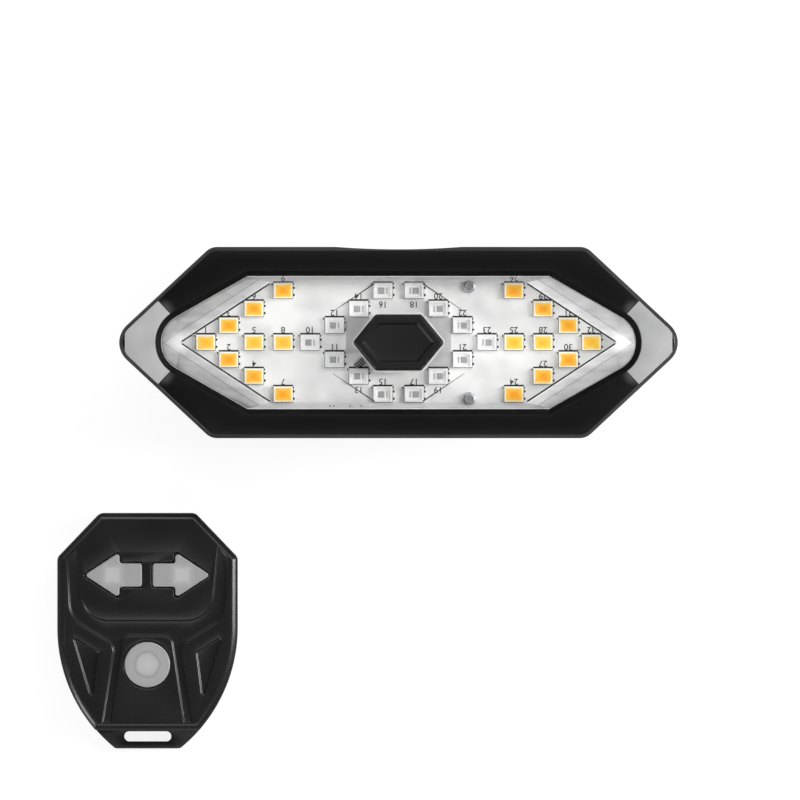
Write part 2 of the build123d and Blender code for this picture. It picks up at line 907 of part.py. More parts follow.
battery_low_y = control_board_y + half * control_board_depth + board_gap
battery_x = control_board_right - half * battery_length
battery_width = half * lamp_height - housing_wall - battery_side_gap - battery_low_y
battery_y = battery_low_y + half * battery_width
battery_bottom = boss_roof + battery_tape_thickness
battery_top = battery_bottom + battery_thickness


def battery_cell():
    pouch = block(battery_length, battery_width, battery_bottom, battery_top, battery_x, battery_y)
    return fillet(pouch.edges().filter_by(Axis.X), battery_round)


def battery_tape():
    """The foam tape that holds the battery on the roof of the rail slot."""
    right = half * rail_head_width
    left = -right
    top_y = half * rail_head_length
    low_y = battery_low_y + battery_tape_margin
    return block(
        right - left, top_y - low_y, boss_roof, battery_bottom, 0, half * (top_y + low_y)
    )


def battery_leads():
    """Two leads from the battery's end to the LED board's underside."""
    leads = []
    end_x = battery_x - half * battery_length
    middle_z = half * (battery_bottom + battery_top)
    for side in (-1, 1):
        y = battery_y + side * half * lead_pitch
        path = FilletPolyline(
            (end_x, y, middle_z),
            (end_x - lead_run, y, middle_z),
            (end_x - lead_run, y, led_board_bottom),
            radius=lead_bend_radius,
        )
        profile = Plane(origin=path @ 0, z_dir=path % 0) * Circle(lead_radius)
        leads.append(sweep(profile, path=path))
    return joined(leads)


def board_header():
    """The pin header that joins the control board to the LED board."""
    x = control_board_right - control_board_width + half * header_body_width
    low = control_board_top
    length = header_pins * header_pitch
    body = block(header_body_width, length, low, low + header_body_height, x, control_board_y)
    for pin in range(header_pins):
        y = control_board_y + (pin - half * (header_pins - 1)) * header_pitch
        body += block(header_pin_side, header_pin_side, low, led_board_bottom, x, y)
    return body


# Seat post bracket


def bracket_half_width():
    return saddle_radius * sin(radians(saddle_half_angle)) + bracket_cheek


def seat_post_bracket():
    """The saddle that straps to the seat post, with a T rail above and a strap hook at each side."""
    wide = bracket_half_width()
    section = Polygon(
        (-wide, 0),
        (wide, 0),
        (wide, bracket_top - bracket_shoulder),
        (wide - bracket_shoulder, bracket_top),
        (bracket_shoulder - wide, bracket_top),
        (-wide, bracket_top - bracket_shoulder),
        align=None,
    )
    shoulders = section.vertices().filter_by(lambda v: v.Y > half * bracket_top)
    section = fillet(shoulders, bracket_shoulder_round)
    body = extrude(Plane.XZ * section, amount=half * bracket_length, both=True)
    body = chamfer(body.edges().filter_by(Axis.Z), bracket_edge_round)
    saddle = Pos(0, 0, saddle_axis_z) * Rot(90, 0, 0) * Cylinder(
        saddle_radius, bracket_length + 2 * cut_overrun
    )
    body -= saddle
    neck_top = back_z + rail_lip + slide_clearance
    neck = block(rail_neck_width, rail_head_length, bracket_top, neck_top)
    head = block(rail_head_width, rail_head_length, neck_top, neck_top + rail_head_thickness)
    body += neck + head
    for side in (-1, 1):
        inner_x = bracket_half_width() - bracket_edge_round
        outer_x = bracket_half_width() + hook_reach
        arm = block(
            outer_x - inner_x,
            hook_width,
            hook_level,
            hook_level + hook_arm_thickness,
            side * half * (outer_x + inner_x),
        )
        tip = block(
            hook_tip_thickness,
            hook_width,
            hook_level,
            hook_level + hook_arm_thickness + hook_tip_height,
            side * (outer_x - half * hook_tip_thickness),
        )
        body += arm + tip
    return body


def saddle_pad():
    """The rubber pad in the saddle, ribbed across the post so that the lamp can't slide down it."""
    outer = saddle_radius - seat_clearance
    length = bracket_length - 2 * slide_clearance
    pad = Cylinder(outer, length) - Cylinder(post_radius, length + cut_overrun)
    pitch = length / (saddle_groove_count + 1)
    for number in range(saddle_groove_count):
        place = (number - half * (saddle_groove_count - 1)) * pitch
        groove = Cylinder(post_radius + saddle_groove_depth, saddle_groove_width)
        pad -= Pos(0, 0, place) * groove
    pad = Pos(0, 0, saddle_axis_z) * Rot(90, 0, 0) * pad
    keep = block(2 * outer, length, 0, outer)
    return pad & keep


# Handset


def handset_plan(lower, inset=0):
    """The handset's outline down to a lower edge, each side an arc below its straight part."""
    top = half * handset_length
    wide = half * handset_width
    side_end = top - handset_side_end
    whole_drop = side_end + top
    whole_turn = wide * (1 - handset_foot_share)
    radius = half * (whole_drop**2 + whole_turn**2) / whole_turn
    drop = side_end - lower
    sweep_angle = asin(drop / radius)
    middle = half * sweep_angle
    half_way = (wide - radius * (1 - cos(middle)), side_end - radius * sin(middle))
    narrow = wide - radius * (1 - cos(sweep_angle))
    right = [
        Line((0, top), (half * handset_top_width, top)),
        Line((half * handset_top_width, top), (wide, top - handset_chamfer_height)),
        Line((wide, top - handset_chamfer_height), (wide, side_end)),
        ThreePointArc((wide, side_end), half_way, (narrow, lower)),
        Line((narrow, lower), (0, lower)),
    ]
    half_plan = make_face(Curve() + right + [Line((0, lower), (0, top))])
    plan = half_plan + mirror(half_plan, about=Plane.YZ)
    if inset:
        plan = offset(plan, -inset)
    corner = handset_corner_round - inset
    if corner > 0:
        upper = plan.vertices().filter_by(lambda v: v.Y > side_end + handset_corner_round)
        plan = fillet(upper.filter_by(lambda v: abs(v.X) > handset_corner_round), corner)
    return plan


handset_top = half * handset_length
handset_low = handset_top - handset_body_length
handset_lid_top = handset_base_height + handset_lid_height
handset_plate_bottom = handset_lid_top - handset_plate
cover_low = cell_cover_recess
cover_high = cover_low + cell_cover_thickness
cell_low = cover_high + cell_cover_boss_height + seat_clearance
cell_high = cell_low + cell_height
handset_board_low = cell_high + cell_contact_gap
handset_board_high = handset_board_low + handset_board_thickness
cell_y = handset_top - cell_drop
arrow_key_y = handset_top - arrow_key_drop
mode_key_y = handset_top - mode_key_drop
arrow_key_x = half * (arrow_key_shoulder + arrow_key_tip)
key_flange_high = handset_plate_bottom - key_flange_gap
key_flange_low = key_flange_high - key_flange_thickness
key_top = handset_lid_top + key_proud
key_switch_top = handset_board_high + switch_height + switch_plunger_proud


def handset_screw_places():
    upper = handset_top - handset_screw_upper_drop
    lower = handset_low + handset_screw_lower_rise
    places = [(side * handset_screw_upper_x, upper) for side in (-1, 1)]
    return places + [(side * handset_screw_lower_x, lower) for side in (-1, 1)]


def tab_plan():
    """The flat strap tab, which carries the outline on below the body."""
    bottom = -half * handset_length
    plan = handset_plan(bottom)
    corners = plan.vertices().filter_by(lambda v: v.Y < half * (bottom + handset_low))
    plan = fillet(corners.filter_by(lambda v: abs(v.X) > tab_corner_round), tab_corner_round)
    reach = tab_reach + handset_wall
    return plan & (Pos(0, bottom + half * reach) * Rectangle(handset_width, reach))


def handset_base():
    plan = handset_plan(handset_low)
    body = extrude(plan, amount=handset_base_height)
    body = fillet(bottom_edges(body), handset_base_round)
    outer = body
    body += raised(tab_plan(), tab_lift, tab_lift + tab_thickness)
    cavity_outline = handset_plan(handset_low, handset_wall)
    body -= raised(cavity_outline, handset_floor, handset_base_height + cut_overrun)
    slot_y = strap_slot_rise - half * handset_length
    slot = Pos(0, slot_y) * SlotOverall(strap_slot_length, strap_slot_height)
    body -= raised(slot, 0, handset_base_height)
    bay_outer = cell_radius + cell_bay_clearance + cell_bay_wall
    well_outer = cell_cover_radius + cell_lug_length + cell_cover_clearance + cell_bay_wall
    ledge_z = cover_high + cell_cover_boss_height
    inner = rod(bay_outer, 0, handset_board_low - seat_clearance, 0, cell_y)
    inner += rod(well_outer, 0, ledge_z, 0, cell_y)
    head_well = screw_head_radius + head_hole_clearance + handset_well_wall
    for x, y in handset_screw_places():
        inner += rod(head_well, 0, handset_screw_sink + handset_screw_pad, x, y)
    body += inner & (outer + raised(cavity_outline, handset_floor, handset_board_low))
    opening = cell_cover_radius + cell_cover_clearance
    body -= rod(opening, -cut_overrun, ledge_z, 0, cell_y)
    body -= rod(cell_radius + cell_bay_clearance, -cut_overrun, handset_board_low, 0, cell_y)
    lug_low = cover_low + cell_lug_level - half * cell_lug_height - slide_clearance
    lug_high = lug_low + cell_lug_height + 2 * slide_clearance
    lug_reach = opening + cell_lug_length
    body -= rod(lug_reach, lug_low, lug_high, 0, cell_y)
    notch_width = cell_lug_width + 2 * slide_clearance
    body -= block(notch_width, 2 * lug_reach, -cut_overrun, lug_high, 0, cell_y)
    for x, y in handset_screw_places():
        body -= rod(screw_shank_radius + screw_hole_clearance, -cut_overrun, handset_board_low, x, y)
        sink = handset_screw_sink + screw_head_height
        body -= rod(screw_head_radius + head_hole_clearance, -cut_overrun, sink, x, y)
    groove = handset_ring(seal_inset, seal_inset + seal_width, handset_base_height - seal_height)
    return body - groove


def handset_ring(outer_inset, inner_inset, low):
    """A ring that follows the handset's outline, from a height up past the parting face."""
    outer = Pos(0, 0, low) * handset_plan(handset_low, outer_inset)
    inner = Pos(0, 0, low) * handset_plan(handset_low, inner_inset)
    return extrude(outer, amount=seal_height) - extrude(inner, amount=seal_height)


def handset_seal():
    low = handset_base_height - seal_height
    return handset_ring(seal_inset + seat_clearance, seal_inset + seal_width - seat_clearance, low)


def arrow_plan(side, grow):
    """An arrow key's outline, pointing to its side."""
    start = arrow_key_start
    plan = Polygon(
        (side * start, arrow_key_shaft_half),
        (side * start, -arrow_key_shaft_half),
        (side * arrow_key_shoulder, -arrow_key_shaft_half),
        (side * arrow_key_shoulder, -arrow_key_half_height),
        (side * arrow_key_tip, 0),
        (side * arrow_key_shoulder, arrow_key_half_height),
        (side * arrow_key_shoulder, arrow_key_shaft_half),
        align=None,
    )
    if grow:
        plan = offset(plan, grow, kind=Kind.INTERSECTION)
    return Pos(0, arrow_key_y) * fillet(plan.vertices(), arrow_key_round)


def symmetric_plan(half_outline):
    """A polygon from the points of its right half, each given by its side distance and its drop."""
    right = [(x, handset_top - drop) for x, drop in half_outline]
    left = [(-x, y) for x, y in reversed(right)]
    return Polygon(*right, *left, align=None)


def corners_at(plan, drop):
    level = handset_top - drop
    return plan.vertices().filter_by(lambda v: abs(v.Y - level) < seat_clearance)


def key_panel_plan():
    """The panel round the arrow keys, open to the upper edge, with two large lower corners."""
    plan = symmetric_plan([(key_panel_top_x, 0), (key_panel_foot_x, key_panel_lower)])
    return fillet(corners_at(plan, key_panel_lower), key_panel_corner)


def thumb_panel_plan():
    """The panel round the mode key, widening down to the lower edge."""
    plan = symmetric_plan(
        [(thumb_panel_top_x, thumb_panel_upper), (thumb_panel_foot_x, handset_body_length)]
    )
    return fillet(corners_at(plan, thumb_panel_upper), thumb_panel_corner)


def channel_plan():
    """The sunk channel that runs down both sides of the key panel and on past the thumb panel."""
    plan = symmetric_plan(
        [
            (channel_top_x, 0),
            (channel_shoulder_x, channel_shoulder),
            (channel_neck_x, channel_neck),
            (channel_foot_x, handset_body_length),
        ]
    )
    plan = fillet(corners_at(plan, channel_shoulder), channel_shoulder_radius)
    plan = fillet(corners_at(plan, channel_neck), channel_neck_radius)
    plan = plan & handset_plan(handset_low, handset_top_round)
    return plan - key_panel_plan() - thumb_panel_plan()


def wing_plan(side):
    """The sunk wing beside a rib."""
    plan = Polygon(
        (side * wing_outer_x, handset_top - wing_top),
        (side * wing_inner_x, handset_top - wing_shoulder),
        (side * wing_foot_x, handset_top - wing_foot),
        align=None,
    )
    return fillet(plan.vertices(), wing_round)


def handset_lid():
    plan = Pos(0, 0, handset_base_height) * handset_plan(handset_low)
    body = extrude(plan, amount=handset_lid_height)
    body = fillet(top_edges(body), handset_top_round)
    clear_top = handset_lid_top + cut_overrun
    body -= raised(channel_plan(), handset_lid_top - channel_depth, clear_top)
    for side in (-1, 1):
        body -= raised(wing_plan(side), handset_lid_top - wing_depth, clear_top)
    body -= raised(
        handset_plan(handset_low, handset_wall), handset_base_height, handset_plate_bottom
    )
    for x, y in handset_screw_places():
        boss_low = handset_screw_sink + handset_screw_pad + seat_clearance
        boss = rod(handset_boss_radius, boss_low, handset_plate_bottom, x, y)
        tip = handset_screw_sink + screw_head_height + handset_screw_length
        boss -= rod(screw_shank_radius + screw_hole_clearance, boss_low, tip + seat_clearance, x, y)
        body += boss
    for side in (-1, 1):
        hole = arrow_plan(side, key_clearance)
        body -= raised(hole, handset_plate_bottom - cut_overrun, clear_top)
    return body - rod(
        mode_key_radius + key_clearance,
        handset_plate_bottom - cut_overrun,
        clear_top,
        0,
        mode_key_y,
    )


def arrow_key(side):
    cap = raised(arrow_plan(side, 0), key_flange_low, key_top)
    cap = fillet(top_edges(cap), key_edge_round)
    flange = raised(arrow_plan(side, key_flange_width), key_flange_low, key_flange_high)
    own_half = block(
        half * handset_width,
        handset_length,
        key_flange_low,
        key_flange_high,
        side * (half * half * handset_width + slide_clearance),
    )
    stem = rod(key_stem_radius, key_switch_top, key_flange_low, side * arrow_key_x, arrow_key_y)
    return cap + (flange & own_half) + stem


def mode_key():
    cap = rod(mode_key_radius, key_flange_low, key_top, 0, mode_key_y)
    cap = fillet(top_edges(cap), key_edge_round)
    flange = rod(mode_key_radius + key_flange_width, key_flange_low, key_flange_high, 0, mode_key_y)
    return cap + flange + rod(key_stem_radius, key_switch_top, key_flange_low, 0, mode_key_y)


key_places = {
    "left": (-arrow_key_x, arrow_key_y),
    "right": (arrow_key_x, arrow_key_y),
    "mode": (0, mode_key_y),
}


def handset_board():
    plan = Pos(0, 0, handset_board_low) * handset_plan(handset_low, handset_board_inset)
    board = extrude(plan, amount=handset_board_thickness)
    for x, y in handset_screw_places():
        gap = handset_boss_radius + handset_boss_gap
        board -= rod(gap, handset_board_low - cut_overrun, handset_board_high + cut_overrun, x, y)
    return board


def key_switches():
    return joined([switch_body(handset_board_high, x, y) for x, y in key_places.values()])


def handset_chip():
    y = half * (arrow_key_y + mode_key_y)
    return block(chip_side, chip_side, handset_board_high, handset_board_high + chip_height, 0, y)


def coin_cell():
    cell = rod(cell_radius, cell_low, cell_high, 0, cell_y)
    return fillet(top_edges(cell), cell_rim_round)


def negative_contact():
    """The sprung leaf between the cell's cap and the board."""
    leaf_top = cell_high + cell_contact_thickness
    leaf = block(2 * cell_contact_radius, cell_clip_width, cell_high, leaf_top, 0, cell_y)
    foot_x = cell_contact_radius - half * cell_contact_thickness
    return leaf + block(
        cell_contact_thickness, cell_clip_width, cell_high, handset_board_low, foot_x, cell_y
    )


def positive_contact():
    """The clip that touches the rim of the cell."""
    x = cell_radius + seat_clearance + half * cell_contact_thickness
    return block(cell_contact_thickness, cell_clip_width, cell_low, handset_board_low, x, cell_y)


def cell_cover():
    """The round cover of the coin cell, turned by a coin, with two lugs."""
    cover = rod(cell_cover_radius, cover_low, cover_high, 0, cell_y)
    boss_radius = cell_cover_radius - cell_seal_width - 2 * cell_seal_margin
    cover += rod(boss_radius, cover_high, cover_high + cell_cover_boss_height, 0, cell_y)
    lug_low = cover_low + cell_lug_level - half * cell_lug_height
    lugs = block(
        2 * (cell_cover_radius + cell_lug_length),
        cell_lug_width,
        lug_low,
        lug_low + cell_lug_height,
        0,
        cell_y,
    )
    lugs = lugs & rod(cell_cover_radius + cell_lug_length, cover_low, cover_high, 0, cell_y)
    cover += lugs
    slot_top_z = cover_low + coin_slot_depth
    return cover - block(coin_slot_length, coin_slot_width, 0, slot_top_z, 0, cell_y)


def cell_cover_seal():
    outer = cell_cover_radius - cell_seal_margin
    ring_top = cover_high + cell_cover_boss_height - seat_clearance
    ring = rod(outer, cover_high, ring_top, 0, cell_y)
    return ring - rod(outer - cell_seal_width, cover_high, ring_top, 0, cell_y)


lamp_place = Pos(lamp_x, lamp_y, 0)
handset_place = Pos(handset_x, handset_y, 0)


def lamp_pieces():
    head_z = back_z + housing_screw_sink + screw_head_height
    return {
        "rear_housing": rear_housing(),
        "front_bezel": front_bezel(),
        "clear_lens": clear_lens(),
        "light_guide_left": light_guide(-1),
        "light_guide_right": light_guide(1),
        "housing_seal": housing_seal(),
        "housing_screws": shell_screws(
            four_corners(housing_screw_x, housing_screw_y), head_z, housing_screw_length
        ),
        "power_button": power_button(),
        "button_plunger": switch_plunger(led_board_top, 0, 0),
        "button_switch": switch_body(led_board_top, 0, 0),
        "led_board": led_board(),
        "board_screws": board_screws(),
        "switch_pad": switch_pad(),
        "antenna_coil": antenna_coil(),
        "coil_core": coil_core(),
        "amber_leds_left": joined([led(x, y) for x, y in arrow_places(-1)]),
        "amber_leds_right": joined([led(x, y) for x, y in arrow_places(1)]),
        "brake_leds": joined([led(x, y) for x, y in brake_places()]),
        "control_board": control_board(),
        "control_chips": control_chips(),
        "charging_socket": charging_socket(),
        "board_header": board_header(),
        "battery_cell": battery_cell(),
        "battery_tape": battery_tape(),
        "battery_leads": battery_leads(),
        "usb_cover": usb_cover(),
        "seat_post_bracket": seat_post_bracket(),
        "saddle_pad": saddle_pad(),
    }


def handset_pieces():
    head_z = handset_screw_sink + screw_head_height
    pieces = {
        "handset_base": handset_base(),
        "handset_lid": handset_lid(),
        "handset_seal": handset_seal(),
        "handset_screws": shell_screws(handset_screw_places(), head_z, handset_screw_length),
        "left_arrow_key": arrow_key(-1),
        "right_arrow_key": arrow_key(1),
        "mode_key": mode_key(),
        "handset_board": handset_board(),
        "key_switches": key_switches(),
        "handset_chip": handset_chip(),
        "coin_cell": coin_cell(),
        "positive_contact": positive_contact(),
        "negative_contact": negative_contact(),
        "cell_cover": cell_cover(),
        "cell_cover_seal": cell_cover_seal(),
    }
    for name, (x, y) in key_places.items():
        pieces[f"{name}_key_plunger"] = switch_plunger(handset_board_high, x, y)
    return pieces


os.makedirs("parts", exist_ok=True)
for place, pieces in ((lamp_place, lamp_pieces()), (handset_place, handset_pieces())):
    for name, shape in pieces.items():
        placed = place * Compound(children=shape.solids())
        export_step(placed, f"parts/{name}.step")
print("lamp back at", round(back_z, 2), "face at", round(face_z, 2), "top at", round(button_top_z, 2))
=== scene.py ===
# %% [markdown]
# # A bicycle turn signal lamp and its handset
#
# The lamp and the handset lie on a white table and are seen straight from above, as in a catalogue
# picture. Their moulded parts, LEDs and boards are already built at real size. This lesson gives each
# surface the finish of the real one, softens the moulded edges, and adds the small things that only
# show: phosphor, chips, printed marks and the light of the studio.

# %% Load the frame
import json
from math import cos, pi, radians, sin, tan

import bmesh
import bpy
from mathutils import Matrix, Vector


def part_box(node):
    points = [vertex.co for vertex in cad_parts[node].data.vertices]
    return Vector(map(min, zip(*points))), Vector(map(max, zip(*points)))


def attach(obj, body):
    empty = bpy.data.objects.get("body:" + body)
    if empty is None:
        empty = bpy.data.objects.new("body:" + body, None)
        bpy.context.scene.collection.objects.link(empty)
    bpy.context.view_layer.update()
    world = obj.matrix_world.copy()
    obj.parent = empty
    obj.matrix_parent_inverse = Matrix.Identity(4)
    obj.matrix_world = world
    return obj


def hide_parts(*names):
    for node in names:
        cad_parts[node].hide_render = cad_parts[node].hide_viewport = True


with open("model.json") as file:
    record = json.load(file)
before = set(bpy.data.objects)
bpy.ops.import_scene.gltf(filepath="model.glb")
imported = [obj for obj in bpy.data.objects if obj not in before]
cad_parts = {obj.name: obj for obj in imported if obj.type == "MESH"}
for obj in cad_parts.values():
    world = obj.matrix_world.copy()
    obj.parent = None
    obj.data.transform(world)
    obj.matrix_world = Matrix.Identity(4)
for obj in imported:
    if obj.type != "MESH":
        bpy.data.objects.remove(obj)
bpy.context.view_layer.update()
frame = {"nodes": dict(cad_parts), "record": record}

millimetre = 0.001
half = 0.5
hair = 0.01 * millimetre  # the least step that keeps two faces apart
weld_distance = 0.002 * millimetre  # corners closer than this are one corner
flat_within = radians(0.5)  # faces that turn by less are one flat face
round_within = radians(32)  # edges that turn by less are shaded round
small_round_within = radians(30)  # the same for the small added pieces
sorting_digits = 5  # boxes are sorted to a hundredth of a millimetre
bodies = frame["record"]["behaviour"]["bodies"]
slots = {part["node"]: part["material_slot"] for part in frame["record"]["subparts"]}
print("nodes:", len(frame["nodes"]))

# %% [markdown]
# ## Where things are
#
# Each new piece takes its place from the box of the part that carries it, so the pieces stay right when
# the model moves. Only distances inside a part are given in millimetres. These few helpers read the
# boxes. A node that holds several like solids, such as the LEDs, is split into the boxes of its parts.


# %% Helpers that read the frame
def body_of_node(node):
    return next(body for body, nodes in bodies.items() if node in nodes)


def centre(node):
    low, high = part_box(node)
    return (low + high) * half


def deselect():
    bpy.ops.object.select_all(action="DESELECT")


def activate(piece):
    deselect()
    piece.select_set(True)
    bpy.context.view_layer.objects.active = piece


def merged_copy(node, name):
    """A copy of a node's mesh with its loose triangles joined up and its flat faces made whole."""
    source = frame["nodes"][node]
    mesh = source.data.copy()
    mesh.name = name
    mesh.materials.clear()
    piece = bpy.data.objects.new(name, mesh)
    bpy.context.scene.collection.objects.link(piece)
    activate(piece)
    bpy.ops.object.mode_set(mode="EDIT")
    bpy.ops.mesh.select_all(action="SELECT")
    bpy.ops.mesh.remove_doubles(threshold=weld_distance)
    bpy.ops.mesh.dissolve_limited(angle_limit=flat_within)
    bpy.ops.object.mode_set(mode="OBJECT")
    if "custom_normal" in mesh.attributes:
        bpy.ops.mesh.customdata_custom_splitnormals_clear()
    return piece


def loose_boxes(node):
    """The lowest and highest corner of each separate solid of a node, from left to right."""
    piece = merged_copy(node, "counting_copy")
    bpy.ops.mesh.separate(type="LOOSE")
    found = []
    for part in list(bpy.context.selected_objects):
        points = [vertex.co for vertex in part.data.vertices]
        low = Vector([min(point[axis] for point in points) for axis in range(3)])
        high = Vector([max(point[axis] for point in points) for axis in range(3)])
        found.append((low, high))
        bpy.data.objects.remove(part)
    return sorted(found, key=lambda pair: (round(pair[0].x, sorting_digits), pair[0].y))


def join(pieces, name, material, node):
    """Joins like pieces into one object that rides with the node's body."""
    deselect()
    for piece in pieces:
        piece.select_set(True)
    bpy.context.view_layer.objects.active = pieces[0]
    bpy.ops.object.join()
    joined = bpy.context.object
    joined.name = name
    joined.data.name = name
    joined.data.materials.clear()
    joined.data.materials.append(material)
    activate(joined)
    bpy.ops.object.origin_set(type="ORIGIN_CURSOR")
    bpy.ops.object.shade_smooth_by_angle(angle=small_round_within)
    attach(joined, body_of_node(node))


lamp_low, lamp_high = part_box("front_bezel")
lamp_middle = (lamp_low + lamp_high) * half
board_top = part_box("led_board")[1].z
print("lamp face at", round(lamp_high.z / millimetre, 2), "mm")

# %% [markdown]
# ## Colour and nodes
#
# Colours are written as they look on a screen, in sRGB hex. Light is reckoned in linear numbers, so one
# function turns a hex value into them. One more function adds a shader node with its settings and its
# links, and every material below is built from it.


# %% Colour and node helpers
def linear(hex_colour):
    """An sRGB hex colour as linear red, green, blue and alpha."""
    digits = hex_colour.lstrip("#")
    channels = [int(digits[place : place + 2], 16) / 255 for place in (0, 2, 4)]
    curve = [c / 12.92 if c <= 0.04045 else ((c + 0.055) / 1.055) ** 2.4 for c in channels]
    return (*curve, 1.0)


def add_node(tree, kind, settings=None, inputs=None):
    """Adds a node, sets its settings, and gives its inputs a value or a link from another output."""
    node = tree.nodes.new(kind)
    for key, value in (settings or {}).items():
        setattr(node, key, value)
    for key, value in (inputs or {}).items():
        if isinstance(value, bpy.types.NodeSocket):
            tree.links.new(value, node.inputs[key])
        else:
            node.inputs[key].default_value = value
    return node


def new_material(name):
    material = bpy.data.materials.new(name)
    material.use_nodes = True
    material.node_tree.nodes.clear()
    return material, material.node_tree


def finish_material(tree, shader):
    add_node(tree, "ShaderNodeOutputMaterial", inputs={"Surface": shader})


def calculate(tree, operation, *values):
    """The result of a Math node whose inputs are numbers or other nodes' outputs."""
    settings = {"operation": operation}
    return add_node(tree, "ShaderNodeMath", settings, dict(enumerate(values))).outputs[0]


def calculate_vector(tree, operation, *values, output="Vector"):
    """The same for vectors. A length or a dot product comes out as Value."""
    settings = {"operation": operation}
    node = add_node(tree, "ShaderNodeVectorMath", settings, dict(enumerate(values)))
    return node.outputs[output]


def object_place(tree):
    """The place on the object in metres, the same in every pose."""
    return add_node(tree, "ShaderNodeTexCoord").outputs["Object"]


def object_noise(tree, feature_size, detail=2.0, stretch=None):
    """Noise whose features are about as large as the size given in metres."""
    place = object_place(tree)
    if stretch:
        inputs = {"Vector": place, "Scale": stretch}
        place = add_node(tree, "ShaderNodeMapping", inputs=inputs).outputs["Vector"]
    inputs = {"Vector": place, "Scale": 1 / feature_size, "Detail": detail}
    return add_node(tree, "ShaderNodeTexNoise", inputs=inputs).outputs["Fac"]


def colour_ramp(tree, factor, stops):
    """A colour that runs through the stops, each a place from 0 to 1 and a hex colour."""
    ramp = add_node(tree, "ShaderNodeValToRGB", inputs={"Fac": factor})
    elements = ramp.color_ramp.elements
    for element, (place, colour) in ((elements[0], stops[0]), (elements[1], stops[-1])):
        element.position = place
        element.color = linear(colour)
    for place, colour in stops[1:-1]:
        elements.new(place).color = linear(colour)
    return ramp.outputs["Color"]


def between(tree, factor, dark, light, low=0.3, high=0.7):
    """A colour that goes from dark to light as the factor goes from low to high."""
    return colour_ramp(tree, factor, ((low, dark), (high, light)))


def value_between(tree, factor, low, high, start=0.0, end=1.0, easing="LINEAR"):
    """A value that goes from low to high as the factor goes from start to end."""
    return add_node(
        tree,
        "ShaderNodeMapRange",
        {"interpolation_type": easing},
        {"Value": factor, "From Min": start, "From Max": end, "To Min": low, "To Max": high},
    ).outputs["Result"]


def uneven(tree, noise, roughness, spread):
    """A roughness that the noise varies from a little below to a little above."""
    return value_between(tree, noise, roughness + spread[0], roughness + spread[1])


mix_first, mix_second, mix_result = 6, 7, 2  # the colour sockets of a Mix node


def mix_colours(tree, factor, first, second, blend_type="MIX"):
    settings = {"data_type": "RGBA", "blend_type": blend_type}
    inputs = {"Factor": factor, mix_first: first, mix_second: second}
    return add_node(tree, "ShaderNodeMix", settings, inputs).outputs[mix_result]


def mix_shaders(tree, share, first, second):
    inputs = {0: share, 1: first, 2: second}
    return add_node(tree, "ShaderNodeMixShader", inputs=inputs).outputs[0]


def principled(tree, inputs):
    return add_node(tree, "ShaderNodeBsdfPrincipled", inputs=inputs).outputs[0]


def see_through(tree, tint="#FFFFFF"):
    inputs = {"Color": linear(tint)}
    return add_node(tree, "ShaderNodeBsdfTransparent", inputs=inputs).outputs[0]


def either_ray(tree, first, second):
    """1 for light rays of two kinds, and 0 for all others."""
    path = add_node(tree, "ShaderNodeLightPath").outputs
    return calculate(tree, "MAXIMUM", path[first], path[second])


corner_rounding = 0.4 * millimetre  # how round a square patch of light is at its corners


def distance_from(tree, point, square):
    """Distance in the plan from a point, measured round or square."""
    offset = calculate_vector(tree, "SUBTRACT", object_place(tree), tuple(point))
    flat = calculate_vector(tree, "MULTIPLY", offset, (1.0, 1.0, 0.0))
    if not square:
        return calculate_vector(tree, "LENGTH", flat, output="Value")
    sides = calculate_vector(tree, "ABSOLUTE", flat)
    split = add_node(tree, "ShaderNodeSeparateXYZ", inputs={"Vector": sides}).outputs
    return calculate(tree, "SMOOTH_MAX", split["X"], split["Y"], corner_rounding)


def plain_finish(name, dark, light, patch_mm, roughness):
    """An even finish with patches of a slightly different tone."""
    material, tree = new_material(name)
    patch = object_noise(tree, patch_mm * millimetre)
    colour = between(tree, patch, dark, light)
    finish_material(tree, principled(tree, {"Base Color": colour, "Roughness": roughness}))
    return material


def grain_normal(tree, height, depth):
    inputs = {"Height": height, "Distance": depth}
    return add_node(tree, "ShaderNodeBump", inputs=inputs).outputs["Normal"]


# %% [markdown]
# ## The camera
#
# The camera looks straight down at the faces of lamp and handset. A long lens from far above gives that
# view: near and far edges stay almost the same size, so the outlines come out as they are drawn.

# %% Camera
view_width = 145.45 * millimetre  # width of the picture at the lamp's face
aim_right = 0.27 * millimetre  # middle of the picture, from the middle of the lamp
aim_down = 10.45 * millimetre
nearest_seen = 0.1
farthest_seen = 20.0
lens_mm = 1200.0
sensor_mm = 36.0
camera_distance = view_width * lens_mm / sensor_mm

bpy.ops.object.camera_add(
    location=(
        lamp_middle.x + aim_right,
        lamp_middle.y - aim_down,
        lamp_high.z + camera_distance,
    ),
    rotation=(0, 0, 0),
)
camera = bpy.context.object
camera.name = "camera"
camera.data.lens = lens_mm
camera.data.sensor_width = sensor_mm
camera.data.clip_start = nearest_seen
camera.data.clip_end = farthest_seen
bpy.context.scene.camera = camera
print("camera height", round(camera.location.z, 3), "m")

# %% [markdown]
# ## The studio
#
# The background is a white sweep. It is drawn white for the camera, and stays an ordinary grey surface
# for the light and for reflections, so the object keeps its soft shadow and its dark sides. Two long
# narrow softboxes stand at the sides, and two broad ones beyond the upper and the lower edge. Black
# plastic shows almost nothing but reflections, so the sky overhead is kept dim and the boxes give the
# thin bright lines along the moulded edges.

# %% Floor, sky and softboxes
floor_size = 8.0
fibre_size = 0.4 * millimetre
white_glow = 0.86
sky_stops = ((0.0, "#B0B0B0"), (0.70, "#A6A6A7"), (0.97, "#404042"))  # horizon to zenith
sky_strength = 0.48
bpy.ops.mesh.primitive_plane_add(size=floor_size, location=(0, 0, -hair))
floor = bpy.context.object
floor.name = "floor"


